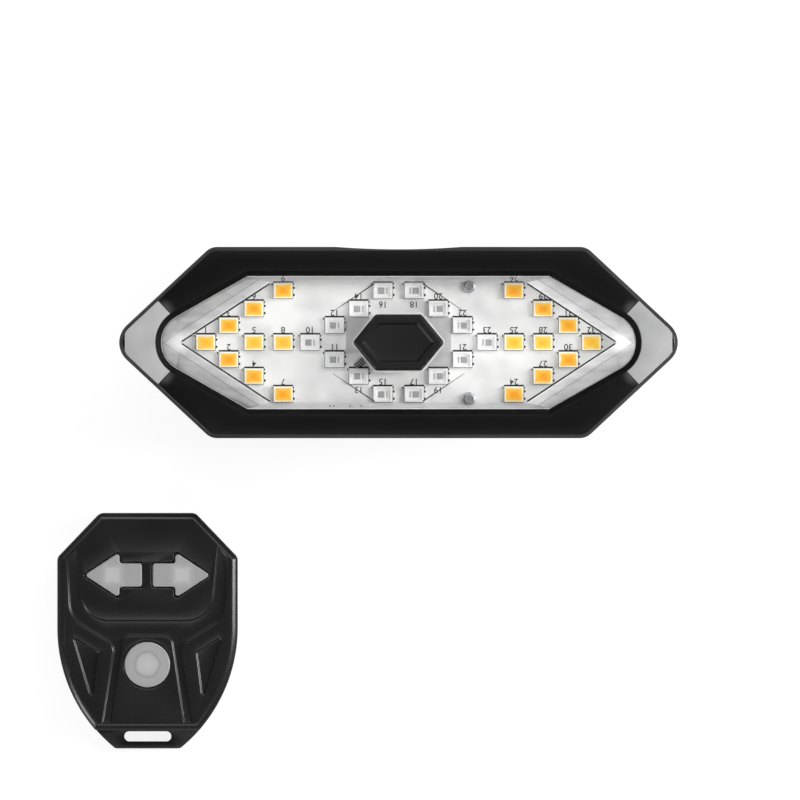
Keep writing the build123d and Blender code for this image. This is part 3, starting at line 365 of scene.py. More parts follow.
def matte(tree, colour):
    inputs = {"Color": colour, "Roughness": 1.0}
    return add_node(tree, "ShaderNodeBsdfDiffuse", inputs=inputs).outputs[0]


floor_material, tree = new_material("white_paper_sweep")
seen = either_ray(tree, "Is Camera Ray", "Is Transmission Ray")
fibre = object_noise(tree, fibre_size)
paper = matte(tree, between(tree, fibre, "#8E8E8E", "#989898"))
seen_paper = matte(tree, between(tree, fibre, "#8A8A8A", "#8F8F8F"))
white = add_node(
    tree, "ShaderNodeEmission", inputs={"Color": linear("#FFFFFF"), "Strength": white_glow}
).outputs[0]
lifted = add_node(tree, "ShaderNodeAddShader", inputs={0: seen_paper, 1: white}).outputs[0]
finish_material(tree, mix_shaders(tree, seen, paper, lifted))
floor.data.materials.append(floor_material)

world = bpy.data.worlds.new("studio_sky")
bpy.context.scene.world = world
world.use_nodes = True
tree = world.node_tree
tree.nodes.clear()
direction = add_node(tree, "ShaderNodeTexCoord").outputs["Generated"]
height = add_node(tree, "ShaderNodeSeparateXYZ", inputs={"Vector": direction}).outputs["Z"]
sky = colour_ramp(tree, height, sky_stops)
background = add_node(
    tree, "ShaderNodeBackground", inputs={"Color": sky, "Strength": sky_strength}
).outputs[0]
add_node(tree, "ShaderNodeOutputWorld", inputs={"Surface": background})

# name, place across, along and up, width and depth, all in metres, and power in watts
softboxes = (
    ("softbox_right", (0.85, 0.12, 0.40), (0.20, 1.0), 13.0),
    ("softbox_left", (-0.72, -0.48, 0.30), (0.20, 0.8), 4.4),
    ("softbox_top", (0.0, 0.65, 0.90), (1.2, 0.5), 5.2),
    ("softbox_front", (0.0, -0.55, 1.15), (0.9, 0.4), 2.6),
)
for name, place, (width, depth), power in softboxes:
    turn = (-Vector(place)).to_track_quat("-Z", "Y").to_euler()  # aimed at the middle of the set
    bpy.ops.object.light_add(type="AREA", location=place, rotation=turn)
    light = bpy.context.object
    light.name = name
    light.data.shape = "RECTANGLE"
    light.data.size = width
    light.data.size_y = depth
    light.data.energy = power

bpy.context.scene.view_settings.view_transform = "Standard"

# %% [markdown]
# ## Black plastics
#
# The shells are black ABS from a mould that was spark eroded, which leaves a very fine even grain. The
# grain breaks the reflections up, so a broad face looks deep grey and only the edges catch a line of
# light. The bezel's mould was polished finer than the back's. Each material says its grain in
# millimetres.


# %% Black plastics
def gleam_beside(tree, colour, points, reach, tint, strength):
    """Paints a gleam: turns a colour towards a paler tint near some points."""
    for point in points:
        distance = distance_from(tree, point, square=False)
        near = value_between(tree, distance, strength, 0.0, end=reach, easing="SMOOTHERSTEP")
        colour = mix_colours(tree, near, colour, linear(tint))
    return colour


cloud_size = 9.0 * millimetre
black_spread = (-0.05, 0.07)
# painted sheen on the bezel beside the ends of the light guides: its reach, tint and strength
painted_sheen_reach = 2.4 * millimetre
painted_sheen_tint = "#4C4C4C"
painted_sheen_strength = 0.85


def moulded_black(name, dark, light, grain_mm, roughness, depth_mm, specular, painted_sheen_at=()):
    """Moulded black plastic or rubber with a fine grain, broad faint clouds and a painted sheen near the
    points given.
    """
    material, tree = new_material(name)
    grain = object_noise(tree, grain_mm * millimetre, detail=3.0)
    cloud = object_noise(tree, cloud_size, detail=1.0)
    colour = between(tree, cloud, dark, light)
    inputs = {
        "Base Color": gleam_beside(tree, colour, painted_sheen_at, painted_sheen_reach, painted_sheen_tint, painted_sheen_strength),
        "Roughness": uneven(tree, grain, roughness, black_spread),
        "IOR": 1.5,
        "Specular IOR Level": specular,
        "Normal": grain_normal(tree, grain, depth_mm * millimetre),
    }
    finish_material(tree, principled(tree, inputs))
    return material


# painted sheen: the bezel's black is painted paler beside the ends of the light guides, standing in for
# the light it mirrors there
painted_sheen_outward = 1.0 * millimetre
painted_sheen_inward = 1.6 * millimetre
guide_low, guide_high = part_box("light_guide_right")
painted_sheen_x = guide_low.x - lamp_middle.x + painted_sheen_outward
painted_sheen_y = (guide_high.y - guide_low.y) * half - painted_sheen_inward
painted_sheen_points = [
    lamp_middle + Vector((side * painted_sheen_x, up * painted_sheen_y, 0)) for side in (-1, 1) for up in (-1, 1)
]
# slot, material, dark and light tone, grain in mm, roughness, depth of the grain in mm, specular level
black_finishes = (
    # satin ABS front: soft bright lines along its edges
    ("bezel_black", "satin_moulded_abs", "#040405", "#070708", 0.12, 0.32, 0.002, 0.3),
    # the sloping rim, painted a little paler: a painted highlight where it catches the light
    ("bezel_rim", "worn_satin_abs", "#262626", "#363636", 0.12, 0.34, 0.002, 0.5),
    # the lip round the window, left matte by the tool, so that it frames the light in black
    ("window_lip", "matte_moulded_lip", "#060606", "#090909", 0.12, 0.60, 0.002, 0.12),
    # spark-eroded ABS back: duller, with a grain that shows from close by
    ("housing_black", "spark_eroded_abs", "#0F0F10", "#141415", 0.20, 0.50, 0.006, 0.5),
    # handset shells: satin ABS with a fine even grain
    ("shell_black", "fine_grain_abs", "#131314", "#181819", 0.14, 0.27, 0.002, 0.5),
    # smooth ABS button
    ("button_black", "smooth_abs", "#060607", "#09090A", 0.10, 0.46, 0.001, 0.3),
    # glass-filled nylon of the bracket: tough, dull
    ("bracket_black", "glass_filled_nylon", "#141415", "#1B1B1C", 0.25, 0.55, 0.008, 0.5),
    # hard slippery acetal of the plungers, smooth polymer of the pin header, dull epoxy of the chips
    ("plunger_black", "acetal", "#171717", "#1E1E1E", 0.10, 0.45, 0.001, 0.5),
    ("header_black", "liquid_crystal_polymer", "#141414", "#1A1A1A", 0.10, 0.5, 0.001, 0.5),
    ("chip_black", "epoxy_package", "#1B1B1C", "#222223", 0.08, 0.6, 0.002, 0.5),
    # silicone and rubber: matte, with a powdery skin
    ("seal_rubber", "silicone_seal", "#1A1A1A", "#202020", 0.10, 0.65, 0.001, 0.5),
    ("cover_rubber", "silicone_cover", "#161616", "#1D1D1D", 0.18, 0.62, 0.004, 0.5),
    ("pad_rubber", "nitrile_pad", "#151515", "#1C1C1C", 0.30, 0.70, 0.008, 0.5),
)
materials = {}
for slot, *finish in black_finishes:
    materials[slot] = moulded_black(*finish, painted_sheen_points if slot == "bezel_black" else ())

# %% [markdown]
# ## Metals
#
# The screws are zinc plated, the socket and contacts nickel plated, and the coin cell is bright steel.
# A metal has no colour of its own under the light, only tinted reflections, so metallic is 1 and fine
# scratches in one direction vary the roughness.


# %% Metals
scratch_stretch = (0.12, 1.0, 1.0)  # scratches run along the first direction
scratch_depth = 0.001 * millimetre
metal_spread = (-0.06, 0.10)


def plated_metal(name, dark, light, scratch_mm, roughness):
    """Plated or rolled metal with fine scratches in one direction."""
    material, tree = new_material(name)
    scratch = object_noise(tree, scratch_mm * millimetre, detail=3.0, stretch=scratch_stretch)
    inputs = {
        "Base Color": between(tree, scratch, dark, light),
        "Metallic": 1.0,
        "Roughness": uneven(tree, scratch, roughness, metal_spread),
        "Normal": grain_normal(tree, scratch, scratch_depth),
    }
    finish_material(tree, principled(tree, inputs))
    return material


# slot, material, dark and light tone, width of the scratches in mm, roughness
metal_finishes = (
    # zinc on the screws, and plain stamped steel on the switches
    ("screw_steel", "zinc_plated_steel", "#A9ABAD", "#C4C6C8", 0.2, 0.34),
    ("switch_steel", "stamped_steel", "#B4B5B6", "#CDCECF", 0.3, 0.30),
    # warm bright nickel on the socket and on the contacts
    ("socket_steel", "nickel_plated_steel", "#BDBCB8", "#D6D5D1", 0.3, 0.24),
    ("contact_steel", "nickel_spring_steel", "#C2C0B8", "#D8D6CE", 0.2, 0.26),
    # the coin cell's polished can
    ("cell_steel", "bright_steel", "#C6C7C8", "#DCDDDE", 0.3, 0.22),
    # the battery's soft aluminium pouch
    ("battery_wrap", "aluminium_laminate", "#B9BABD", "#CCCDD0", 0.8, 0.36),
    # copper wire under dark enamel, wound close
    ("coil_copper", "enamelled_copper", "#141211", "#2A2523", 0.1, 0.35),
)
for slot, *finish in metal_finishes:
    materials[slot] = plated_metal(*finish)

# %% [markdown]
# ## Boards, pads and keys
#
# The LED board has a white glossy solder mask, a little uneven where copper lies under it. The hidden
# boards are ordinary green ones. The keys and the light guides are frosted plastic that lets light
# through, so their colour varies softly where the plastic is thicker, and the keys carry painted light
# where a lamp lies under them.


# %% Boards, pads and keys
copper_size = 6.0 * millimetre
mask_skin_size = 0.5 * millimetre
copper_step = 0.02 * millimetre
frost_size = 0.12 * millimetre
frost_depth = 0.002 * millimetre
frosted_glow_depth = 1.2 * millimetre
soft_spread = (-0.05, 0.08)
all_alike = (1.0, 1.0, 1.0)  # light of every colour goes as deep


def painted_board(name, dark, light, roughness):
    """Glossy solder mask over copper areas a few millimetres wide."""
    material, tree = new_material(name)
    copper = object_noise(tree, copper_size, detail=1.5)
    skin = object_noise(tree, mask_skin_size)
    inputs = {
        "Base Color": between(tree, copper, dark, light, low=0.35, high=0.6),
        "Roughness": uneven(tree, skin, roughness, soft_spread),
        "Normal": grain_normal(tree, copper, copper_step),
    }
    finish_material(tree, principled(tree, inputs))
    return material


def frosted_plastic(name, dark, light, patch_mm, roughness):
    """Milky plastic with a frosted skin and soft patches."""
    material, tree = new_material(name)
    patch = object_noise(tree, patch_mm * millimetre, detail=1.5)
    frost = object_noise(tree, frost_size)
    inputs = {
        "Base Color": between(tree, patch, dark, light),
        "Roughness": uneven(tree, frost, roughness, soft_spread),
        "IOR": 1.49,
        "Subsurface Weight": 0.35,
        "Subsurface Scale": frosted_glow_depth,
        "Subsurface Radius": all_alike,
        "Normal": grain_normal(tree, frost, frost_depth),
    }
    finish_material(tree, principled(tree, inputs))
    return material


# slot, material, dark and light tone, roughness
board_finishes = (
    # solder mask of the LED board and of the hidden boards, and the glaze of the coil's rod
    ("board_white", "white_solder_mask", "#DEDEDE", "#F2F2F1", 0.38),
    ("board_green", "green_solder_mask", "#0F4A2A", "#176239", 0.35),
    ("core_ceramic", "glazed_ceramic", "#E0E0DE", "#EAEAE8", 0.3),
)
# slot, material, dark and light tone, width of the patches in mm, roughness
frosted_finishes = (
    # frosted polycarbonate of the light guides and keys
    ("guide_frosted", "frosted_light_guide", "#A0A0A0", "#AEAEAE", 5.0, 0.5),
    ("key_frosted", "frosted_key", "#A6A6A6", "#B4B4B4", 2.2, 0.45),
    # grey silicone pad, foam of the battery tape, and the red insulation of the leads
    ("pad_grey", "silicone_pad", "#BEBEBE", "#C8C8C8", 2.0, 0.6),
    ("foam_grey", "acrylic_foam_tape", "#6A6A6A", "#787878", 1.0, 0.8),
    ("lead_insulation", "silicone_insulation", "#8C1A14", "#A1211A", 1.0, 0.5),
    # the LED's white moulded case, slightly yellowed where phosphor fills it
    ("led_amber", "led_case_warm", "#FFFAEC", "#FFFDF6", 0.8, 0.4),
    ("led_clear", "led_case_white", "#F2F2F2", "#FAFAFA", 0.8, 0.4),
)
for slot, *finish in board_finishes:
    materials[slot] = painted_board(*finish)
for slot, *finish in frosted_finishes:
    materials[slot] = frosted_plastic(*finish)

# %% [markdown]
# ## The clear lens
#
# The lens is moulded polycarbonate. Its flat roof is polished and all but invisible from the front. Its
# sloping bands have a fine frosted texture inside, which hides the board's edge: they look silver grey
# with soft streaks that run down the slope. Light on its way to the board passes straight through,
# which a real thin lens does too.


# %% Lens materials
haze_size = 1.2 * millimetre
haze_stretch = (0.3, 1.0, 1.0)
haze_least, haze_most = 0.05, 0.45  # how much the haze hides
band_stops = (  # from the clear roof out to the window's edge
    (0.04, "#E6E6E6"),
    (0.14, "#CCCCCC"),
    (0.50, "#C0C0C0"),
    (0.56, "#969696"),
    (0.62, "#B4B4B4"),
    (1.00, "#B0B0B0"),
)
band_light_share = 0.8  # how much of the light goes through the frosted band to the board
band_width = 3.0 * millimetre
streak_size = 1.5 * millimetre
streak_stretch = (0.35, 1.0, 1.0)
streak_share = 0.08  # how far a streak moves the tones
roof_edge_angle = radians(33.3)
roof_reach = 40.0 * millimetre  # from the lamp's middle out to the tip of the clear roof
# painted highlight: the band is painted paler round each tip of the clear roof
tip_gleam_reach = 2.9 * millimetre
tip_gleam_tint = "#F0F0F0"
tip_gleam_strength = 0.85


def light_to_board(tree):
    """1 for the rays that carry light to the board, 0 for those that are seen or mirrored."""
    return either_ray(tree, "Is Shadow Ray", "Is Diffuse Ray")


def clear_polycarbonate():
    """Polished polycarbonate."""
    material, tree = new_material("clear_polycarbonate")
    inputs = {
        "Base Color": linear("#FFFFFF"),
        "Roughness": 0.02,
        "IOR": 1.45,
        "Transmission Weight": 1.0,
    }
    glass = principled(tree, inputs)
    clear = see_through(tree, "#FDFDFD")
    finish_material(tree, mix_shaders(tree, light_to_board(tree), glass, clear))
    return material


def hazy_edge():
    """The narrow clear slopes: a thin haze over a plain view of the board."""
    material, tree = new_material("hazy_polycarbonate_edge")
    haze = object_noise(tree, haze_size, detail=3.0, stretch=haze_stretch)
    colour = between(tree, haze, "#B8B8B8", "#DADADA")
    skin = principled(tree, {"Base Color": colour, "Roughness": 0.3, "IOR": 1.5})
    clear = see_through(tree, "#F4F4F4")
    share = value_between(tree, haze, haze_least, haze_most)
    finish_material(tree, mix_shaders(tree, share, clear, skin))
    return material


def frosted_band():
    """The textured slopes of the lens: pale by the clear roof, greyer to the window's edge, with a
    painted highlight at each tip.
    """
    material, tree = new_material("frosted_polycarbonate_band")
    centred = calculate_vector(tree, "SUBTRACT", object_place(tree), tuple(lamp_middle))
    around = calculate_vector(tree, "ABSOLUTE", centred)
    outward = (sin(roof_edge_angle), cos(roof_edge_angle), 0.0)
    distance = calculate_vector(tree, "DOT_PRODUCT", around, outward, output="Value")
    start = roof_reach * sin(roof_edge_angle)
    across_band = value_between(tree, distance, 0.0, 1.0, start, start + band_width)
    streak = object_noise(tree, streak_size, detail=3.0, stretch=streak_stretch)
    tone = calculate(tree, "MULTIPLY_ADD", streak, streak_share, across_band)
    pale = between(tree, streak, "#DADADA", "#FFFFFF")
    streaked = mix_colours(tree, 1.0, colour_ramp(tree, tone, band_stops), pale, "MULTIPLY")
    tips = [lamp_middle + Vector((side * roof_reach, 0, 0)) for side in (-1, 1)]
    colour = gleam_beside(
        tree, streaked, tips, tip_gleam_reach, tip_gleam_tint, tip_gleam_strength
    )
    skin = principled(tree, {"Base Color": colour, "Roughness": 0.38, "IOR": 1.5})
    share = calculate(tree, "MULTIPLY", light_to_board(tree), band_light_share)
    finish_material(tree, mix_shaders(tree, share, skin, see_through(tree)))
    return material


materials["lens_clear"] = clear_polycarbonate()
materials["lens_band"] = frosted_band()
materials["lens_edge"] = hazy_edge()

# %% [markdown]
# ## Softened edges
#
# A moulded edge is never quite sharp, and the small radius is what catches the light. For each part
# that shows, a copy of its mesh is merged, its flat faces are made whole and then split into convex
# ones, and a Bevel modifier rounds the edges that turn by more than the limit. The copy then stands for
# the part, with the same place and size. Parts that aren't in the list are only shaded smooth.


# %% Softened copies of the moulded parts
def stand_for(piece, node):
    """Lets a finished copy take the place of the part it was made from."""
    piece.data.materials.append(materials[slots[node]])
    activate(piece)
    bpy.ops.object.shade_smooth_by_angle(angle=round_within)
    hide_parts(node)
    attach(piece, body_of_node(node))
    return piece


edge_segments = 3


def soften(node, name, radius_mm, sharp_degrees):
    piece = merged_copy(node, name)
    bpy.ops.object.mode_set(mode="EDIT")
    bpy.ops.mesh.select_all(action="SELECT")
    bpy.ops.mesh.vert_connect_concave()
    bpy.ops.object.mode_set(mode="OBJECT")
    bevel = piece.modifiers.new("edge_radius", "BEVEL")
    bevel.width = radius_mm * millimetre
    bevel.segments = edge_segments
    bevel.limit_method = "ANGLE"
    bevel.angle_limit = radians(sharp_degrees)
    bevel.use_clamp_overlap = False
    bevel.loop_slide = False
    bpy.ops.object.modifier_apply(modifier=bevel.name)
    points = [vertex.co for vertex in piece.data.vertices]
    low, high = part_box(node)
    for axis in range(3):
        over = max(
            low[axis] - min(point[axis] for point in points),
            max(point[axis] for point in points) - high[axis],
        )
        if over > hair:
            print("outside its box:", name, axis, round(over / millimetre, 3), "mm")
    return stand_for(piece, node)


# node, new piece, radius in mm, and the turn in degrees from which an edge counts as sharp
softened = [
    ("front_bezel", "bezel_moulding", 0.12, 30),
    ("rear_housing", "housing_moulding", 0.12, 40),
    ("power_button", "button_moulding", 0.10, 30),
    ("handset_lid", "handset_upper_shell", 0.22, 55),
    ("handset_base", "handset_lower_shell", 0.10, 70),
    ("seat_post_bracket", "bracket_moulding", 0.20, 50),
    ("light_guide_left", "guide_moulding_left", 0.06, 40),
    ("light_guide_right", "guide_moulding_right", 0.06, 40),
    ("usb_cover", "charging_cover_moulding", 0.10, 50),
    ("cell_cover", "cell_cover_moulding", 0.10, 70),
]
softened_pieces = {}
for node, name, radius, sharp in softened:
    softened_pieces[node] = soften(node, name, radius, sharp)
    print("softened", name)

# The faces of the bezel that slope towards the lamp's middle are the window's lip, and those that
# slope away from it near the front are its rim.
rim_depth = 1.5 * millimetre
flat_face = 0.97  # a face whose normal stands straighter than this is flat
leaning = 0.1  # how far the normals of the lip lean in, and those of the rim lean out
lip_index, rim_index = 1, 2  # their places among the bezel's materials
bezel = softened_pieces["front_bezel"].data
bezel.materials.append(materials["window_lip"])
bezel.materials.append(materials["bezel_rim"])
for face in bezel.polygons:
    inward = (lamp_middle - face.center).normalized()
    facing = face.normal.x * inward.x + face.normal.y * inward.y
    upright = face.normal.z > flat_face
    if facing > leaning and not upright and face.center.z > board_top:
        face.material_index = lip_index
    elif facing < -leaning and not upright and face.center.z > lamp_high.z - rim_depth:
        face.material_index = rim_index

# %% [markdown]
# ## The finishes of the lens
#
# The lens is one moulding with three finishes, so its copy has three material slots. The faces that
# slope down to the ends are picked by their normals and get the frosted finish, and so does the face of
# the button's collar. The narrow slopes along the upper and lower edge get a thin haze, and the flat
# ones stay clear.


# %% The lens
wall_slope, roof_slope = 0.05, 0.995  # the normal's height of a wall and of the flat roof
end_slope = 0.02  # how far a normal leans along the lamp on the slopes at its ends
band_index, edge_index = 1, 2  # their places among the lens's materials


def lens_moulding():
    piece = merged_copy("clear_lens", "lens_moulding")
    mesh = piece.data
    for finish in ("lens_clear", "lens_band", "lens_edge"):
        mesh.materials.append(materials[finish])
    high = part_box("clear_lens")[1]
    for face in mesh.polygons:
        sloping = wall_slope < face.normal.z < roof_slope
        to_the_end = abs(face.normal.x) > end_slope
        collar = face.normal.z > half and face.center.z > high.z - hair
        if (sloping and to_the_end) or collar:
            face.material_index = band_index
        elif sloping:
            face.material_index = edge_index
    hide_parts("clear_lens")
    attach(piece, "lamp")


lens_moulding()

# %% [markdown]
# ## The fine lines in the lens
#
# Where the clear roof meets the slopes at each end, the wall of the lens stands upright and shows as a
# fine dark line. Four finer lines run where the roof steps up round the middle field, and the lens's
# edge catches the light in a bright line along the window. All of them are painted: thin ribbons of
# painted shade, and along the window of painted highlight, given for one quarter of the lens and
# mirrored into the others.


# %% Lines in the lens
def ribbon(name, start, end, widths, z):
    """A thin flat strip from one point of the plan to another, tapered between two widths."""
    along = (end - start).normalized()
    aside = Vector((-along.y, along.x, 0)) * half
    mesh = bpy.data.meshes.new(name)
    near, far = aside * widths[0], aside * widths[1]
    corners = [start - near, end - far, end + far, start + near]
    low = [Vector((corner.x, corner.y, z)) for corner in corners]
    high = [Vector((corner.x, corner.y, z + hair)) for corner in corners]
    sides = [(n, (n + 1) % 4, 4 + (n + 1) % 4, 4 + n) for n in range(4)]
    mesh.from_pydata([*low, *high], [], [(3, 2, 1, 0), (4, 5, 6, 7), *sides])
    piece = bpy.data.objects.new(name, mesh)
    bpy.context.scene.collection.objects.link(piece)
    return piece


def mirrored_ribbons(name, start, end, widths, z):
    """The same ribbon in all four quarters round the lamp's middle."""
    made = []
    for side in (-1, 1):
        for up in (-1, 1):
            turned = [
                lamp_middle + Vector((side * point[0], up * point[1], 0)) for point in (start, end)
            ]
            made.append(ribbon(name, *turned, widths, z))
    return made


lens_low, lens_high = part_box("clear_lens")
roof_half_height = 10.9 * millimetre
roof_corner_x = roof_reach - roof_half_height / tan(roof_edge_angle)
wall_depth = 1.70 * millimetre  # from the lens's face down to the dark lines
tip_gap = 0.6 * millimetre  # from the tip of the roof, where two lines come together, to their ends
tip_aside = 0.2 * millimetre
corner_gap = 0.1 * millimetre
step_depth = 0.10 * millimetre
step_start = (12.0 * millimetre, 5.6 * millimetre)
step_end = (4.4 * millimetre, 10.7 * millimetre)
lip_width = 1.5 * millimetre  # how much of the lens the lip of the window hides
window_edge = (lens_high.y - lens_low.y) * half - lip_width
glint_reach = 27.5 * millimetre
glint_depth = 0.3 * millimetre
# kind, start and end from the lamp's middle, widths there in mm, height, finish
lens_lines = (
    # painted shade where the lens's wall stands upright
    (
        "edge",
        (roof_reach - tip_gap, tip_aside),
        (roof_corner_x, roof_half_height - corner_gap),
        (0.28, 0.44),
        lens_high.z - wall_depth,
        plain_finish("moulding_edge_shadow", "#161616", "#303030", patch_mm=3.0, roughness=0.7),
    ),
    # painted shade where the roof steps up
    (
        "step",
        step_start,
        step_end,
        (0.08, 0.26),
        lens_high.z - step_depth,
        plain_finish("roof_step_shadow", "#202020", "#3C3C3C", patch_mm=2.5, roughness=0.6),
    ),
    # painted highlight along the window's edge
    (
        "glint",
        (0.0, window_edge),
        (glint_reach, window_edge),
        (0.09, 0.06),
        lamp_high.z - glint_depth,
        plain_finish("painted_lens_edge_glint", "#D6D6D6", "#EAEAEA", patch_mm=2.0, roughness=0.3),
    ),
)
for kind, start, end, widths_mm, z, finish in lens_lines:
    widths = [width * millimetre for width in widths_mm]
    quarters = mirrored_ribbons(f"{kind}_line", start, end, widths, z)
    join(quarters, f"lens_{kind}_lines", finish, "clear_lens")

# %% [markdown]
# ## Keys with a lamp behind them
#
# A small LED stands under each key. Through the frosted plastic it shows as a pale patch: square behind
# an arrow, round with a faint ring behind the mode key. The patch and its ring are painted light, worked
# out from the distance to the key's middle.


# %% Keys
key_patch_size = 1.2 * millimetre
key_patch_share = 0.10  # how far a patch of the plastic moves the tones
key_sheen = (0.36, 0.48)


def lit_key(name, point, square, reach_mm, stops):
    """Frosted plastic with painted light: its tone follows the distance from the LED behind it."""
    material, tree = new_material(name)
    distance = distance_from(tree, point, square)
    share = value_between(tree, distance, 0.0, 1.0, end=reach_mm * millimetre)
    patch = object_noise(tree, key_patch_size)
    tone = calculate(tree, "MULTIPLY_ADD", patch, key_patch_share, share)
    frost = object_noise(tree, frost_size)
    inputs = {
        "Base Color": colour_ramp(tree, tone, stops),
        "Roughness": value_between(tree, frost, *key_sheen),
        "IOR": 1.49,
        "Normal": grain_normal(tree, frost, frost_depth),
    }
    finish_material(tree, principled(tree, inputs))
    return material


arrow_stops = ((0.34, "#ABABAB"), (0.50, "#9B9B9B"), (0.75, "#919191"))
mode_stops = (
    (0.10, "#ACACAC"),
    (0.38, "#A3A3A3"),
    (0.46, "#8A8A8A"),
    (0.54, "#979797"),
    (0.85, "#929292"),
)
# key, material, whether its patch is square, reach of the patch in mm, tones
lit_keys = (
    ("left_arrow_key", "frosted_arrow_left", True, 3.4, arrow_stops),
    ("right_arrow_key", "frosted_arrow_right", True, 3.4, arrow_stops),
    ("mode_key", "frosted_mode_key", False, 5.5, mode_stops),
)
own_finish = {node: lit_key(name, centre(node), *rest) for node, name, *rest in lit_keys}

# %% [markdown]
# ## Materials of the other parts
#
# Parts that keep their own mesh get their finish here, by the material slot that the record gives them.

# %% Materials on the parts that stay
for node, thing in frame["nodes"].items():
    thing.data.materials.clear()
    thing.data.materials.append(own_finish.get(node, materials[slots[node]]))
    activate(thing)
    bpy.ops.object.shade_smooth_by_angle(angle=round_within)

# %% [markdown]
# ## Inside the LEDs
#
# Each amber LED is a white case filled level with phosphor, deep orange over the chip and paler to its
# edge, with a faint painted glow. The brake LEDs are filled with clear resin: one sees the square chip
# and, beside it, the bar of the second contact. Each filling is a thin plate, made to the well of its
# own case.


# %% Phosphor and chips
def small_plate(name, low, high, inset=0.0):
    """A plate from corner to corner. With an inset, its top is drawn in and raised by a hair."""
    bpy.ops.mesh.primitive_cube_add(size=1, location=(low + high) * half)
    piece = bpy.context.object
    piece.name = name
    piece.scale = high - low
    bpy.ops.object.transform_apply(location=True, rotation=True, scale=True)
    if inset:
        bpy.ops.object.mode_set(mode="EDIT")
        mesh = bmesh.from_edit_mesh(piece.data)
        for face in mesh.faces:
            face.select_set(face.normal.z > half)
        mesh.select_flush_mode()
        bmesh.update_edit_mesh(piece.data)
        bpy.ops.mesh.inset(thickness=inset)
        bpy.ops.transform.translate(value=(0, 0, hair))
        bpy.ops.object.mode_set(mode="OBJECT")
    return piece


def plate_about(name, middle, size, inset):
    return small_plate(name, middle - size * half, middle + size * half, inset)


def give_square_uv(piece, low, high):
    """A UV map that runs from -1 to 1 across the plate, for patterns that follow its outline."""
    layer = piece.data.uv_layers.new(name="square")
    piece.data.uv_layers.active = layer
    middle = (low + high) * half
    reach = (high - low) * half
    for loop in piece.data.loops:
        point = piece.data.vertices[loop.vertex_index].co
        layer.data[loop.index].uv = (
            (point.x - middle.x) / reach.x,
            (point.y - middle.y) / reach.y,
        )


phosphor_patch_size = 1.6 * millimetre
phosphor_patch_share = 0.18
phosphor_glow_depth = 0.5 * millimetre
row_reach = 2.0 * millimetre
orange_stops = ((0.30, "#FFA61A"), (0.93, "#FFCB55"), (1.0, "#FFF6DC"))
yellow_stops = ((0.30, "#FFBE2E"), (0.93, "#FFD466"), (1.0, "#FFF6DC"))


def phosphor():
    """Amber phosphor with a faint painted glow: orange in the middle, cream at the edge of the case."""
    material, tree = new_material("amber_phosphor")
    square = add_node(tree, "ShaderNodeUVMap", {"uv_map": "square"}).outputs["UV"]
    split = add_node(tree, "ShaderNodeSeparateXYZ", inputs={"Vector": square}).outputs
    sides = [calculate(tree, "ABSOLUTE", split[axis]) for axis in ("X", "Y")]
    edge = calculate(tree, "MAXIMUM", *sides)
    patch = object_noise(tree, phosphor_patch_size, detail=1.0)
    tone = calculate(tree, "MULTIPLY_ADD", patch, phosphor_patch_share, edge)
    # the LEDs of the middle row are a shade yellower
    place = add_node(tree, "ShaderNodeSeparateXYZ", inputs={"Vector": object_place(tree)})
    in_row = calculate(tree, "COMPARE", place.outputs["Y"], lamp_middle.y, row_reach)
    shades = [colour_ramp(tree, tone, stops) for stops in (orange_stops, yellow_stops)]
    glow = mix_colours(tree, in_row, *shades)
    inputs = {
        "Base Color": glow,
        "Roughness": 0.35,
        # a faint painted glow, as though the phosphor were lit from within
        "Emission Color": glow,
        "Emission Strength": 0.10,
        "Subsurface Weight": 0.2,
        "Subsurface Scale": phosphor_glow_depth,
        "Subsurface Radius": all_alike,
    }
    finish_material(tree, principled(tree, inputs))
    return material


amber_phosphor = phosphor()
chip_grey = plain_finish(
    "bare_silicon_chip", "#989898", "#AEAEAE", patch_mm=0.5, roughness=0.4
)
bond_grey = plain_finish("silvered_contact", "#A9A9A9", "#BDBDBD", patch_mm=0.5, roughness=0.4)
cup_white = plain_finish("silvered_cup", "#ECECEC", "#F8F8F8", patch_mm=0.6, roughness=0.3)

case_wall = 0.11 * millimetre
well_depth = 0.30 * millimetre
phosphor_level = -0.02 * millimetre  # stands a little proud of the case
phosphor_inset = 0.1 * millimetre


def well_of(low, high, level):
    """The corners of what fills a case's well, from its floor to a level below its rim."""
    inner_low = Vector((low.x + case_wall, low.y + case_wall, high.z - well_depth + hair))
    inner_high = Vector((high.x - case_wall, high.y - case_wall, high.z - level))
    return inner_low, inner_high


for side in ("left", "right"):
    node = f"amber_leds_{side}"
    fillings = []
    for low, high in loose_boxes(node):
        inner_low, inner_high = well_of(low, high, phosphor_level)
        plate = small_plate("phosphor", inner_low, inner_high, phosphor_inset)
        give_square_uv(plate, inner_low, inner_high)
        fillings.append(plate)
    join(fillings, f"amber_phosphor_{side}", amber_phosphor, node)
    print("phosphor in", len(fillings), "LEDs on the", side)

cup_thickness = 0.06 * millimetre
cup_inset = 0.2 * millimetre
chip_size = Vector((1.15, 1.15, 0.12)) * millimetre
chip_inset = 0.16 * millimetre
chip_offset = 0.30 * millimetre
bar_size = Vector((0.28, 1.15, 0.05)) * millimetre
bar_inset = 0.05 * millimetre
bar_offset = 0.72 * millimetre

chips, bars, cups = [], [], []
for low, high in loose_boxes("brake_leds"):
    middle = (low + high) * half
    outward = -1 if middle.x < lamp_middle.x else 1
    inner_low, inner_high = well_of(low, high, well_depth - cup_thickness)
    cups.append(small_plate("cup", inner_low, inner_high, cup_inset))
    chip_middle = Vector((middle.x + outward * chip_offset, middle.y, inner_high.z))
    chips.append(plate_about("chip", chip_middle, chip_size, chip_inset))
    bar_middle = Vector((middle.x - outward * bar_offset, middle.y, inner_high.z))
    bars.append(plate_about("bar", bar_middle, bar_size, bar_inset))
join(cups, "brake_led_cups", cup_white, "brake_leds")
join(chips, "brake_led_chips", chip_grey, "brake_leds")
join(bars, "brake_led_contacts", bond_grey, "brake_leds")
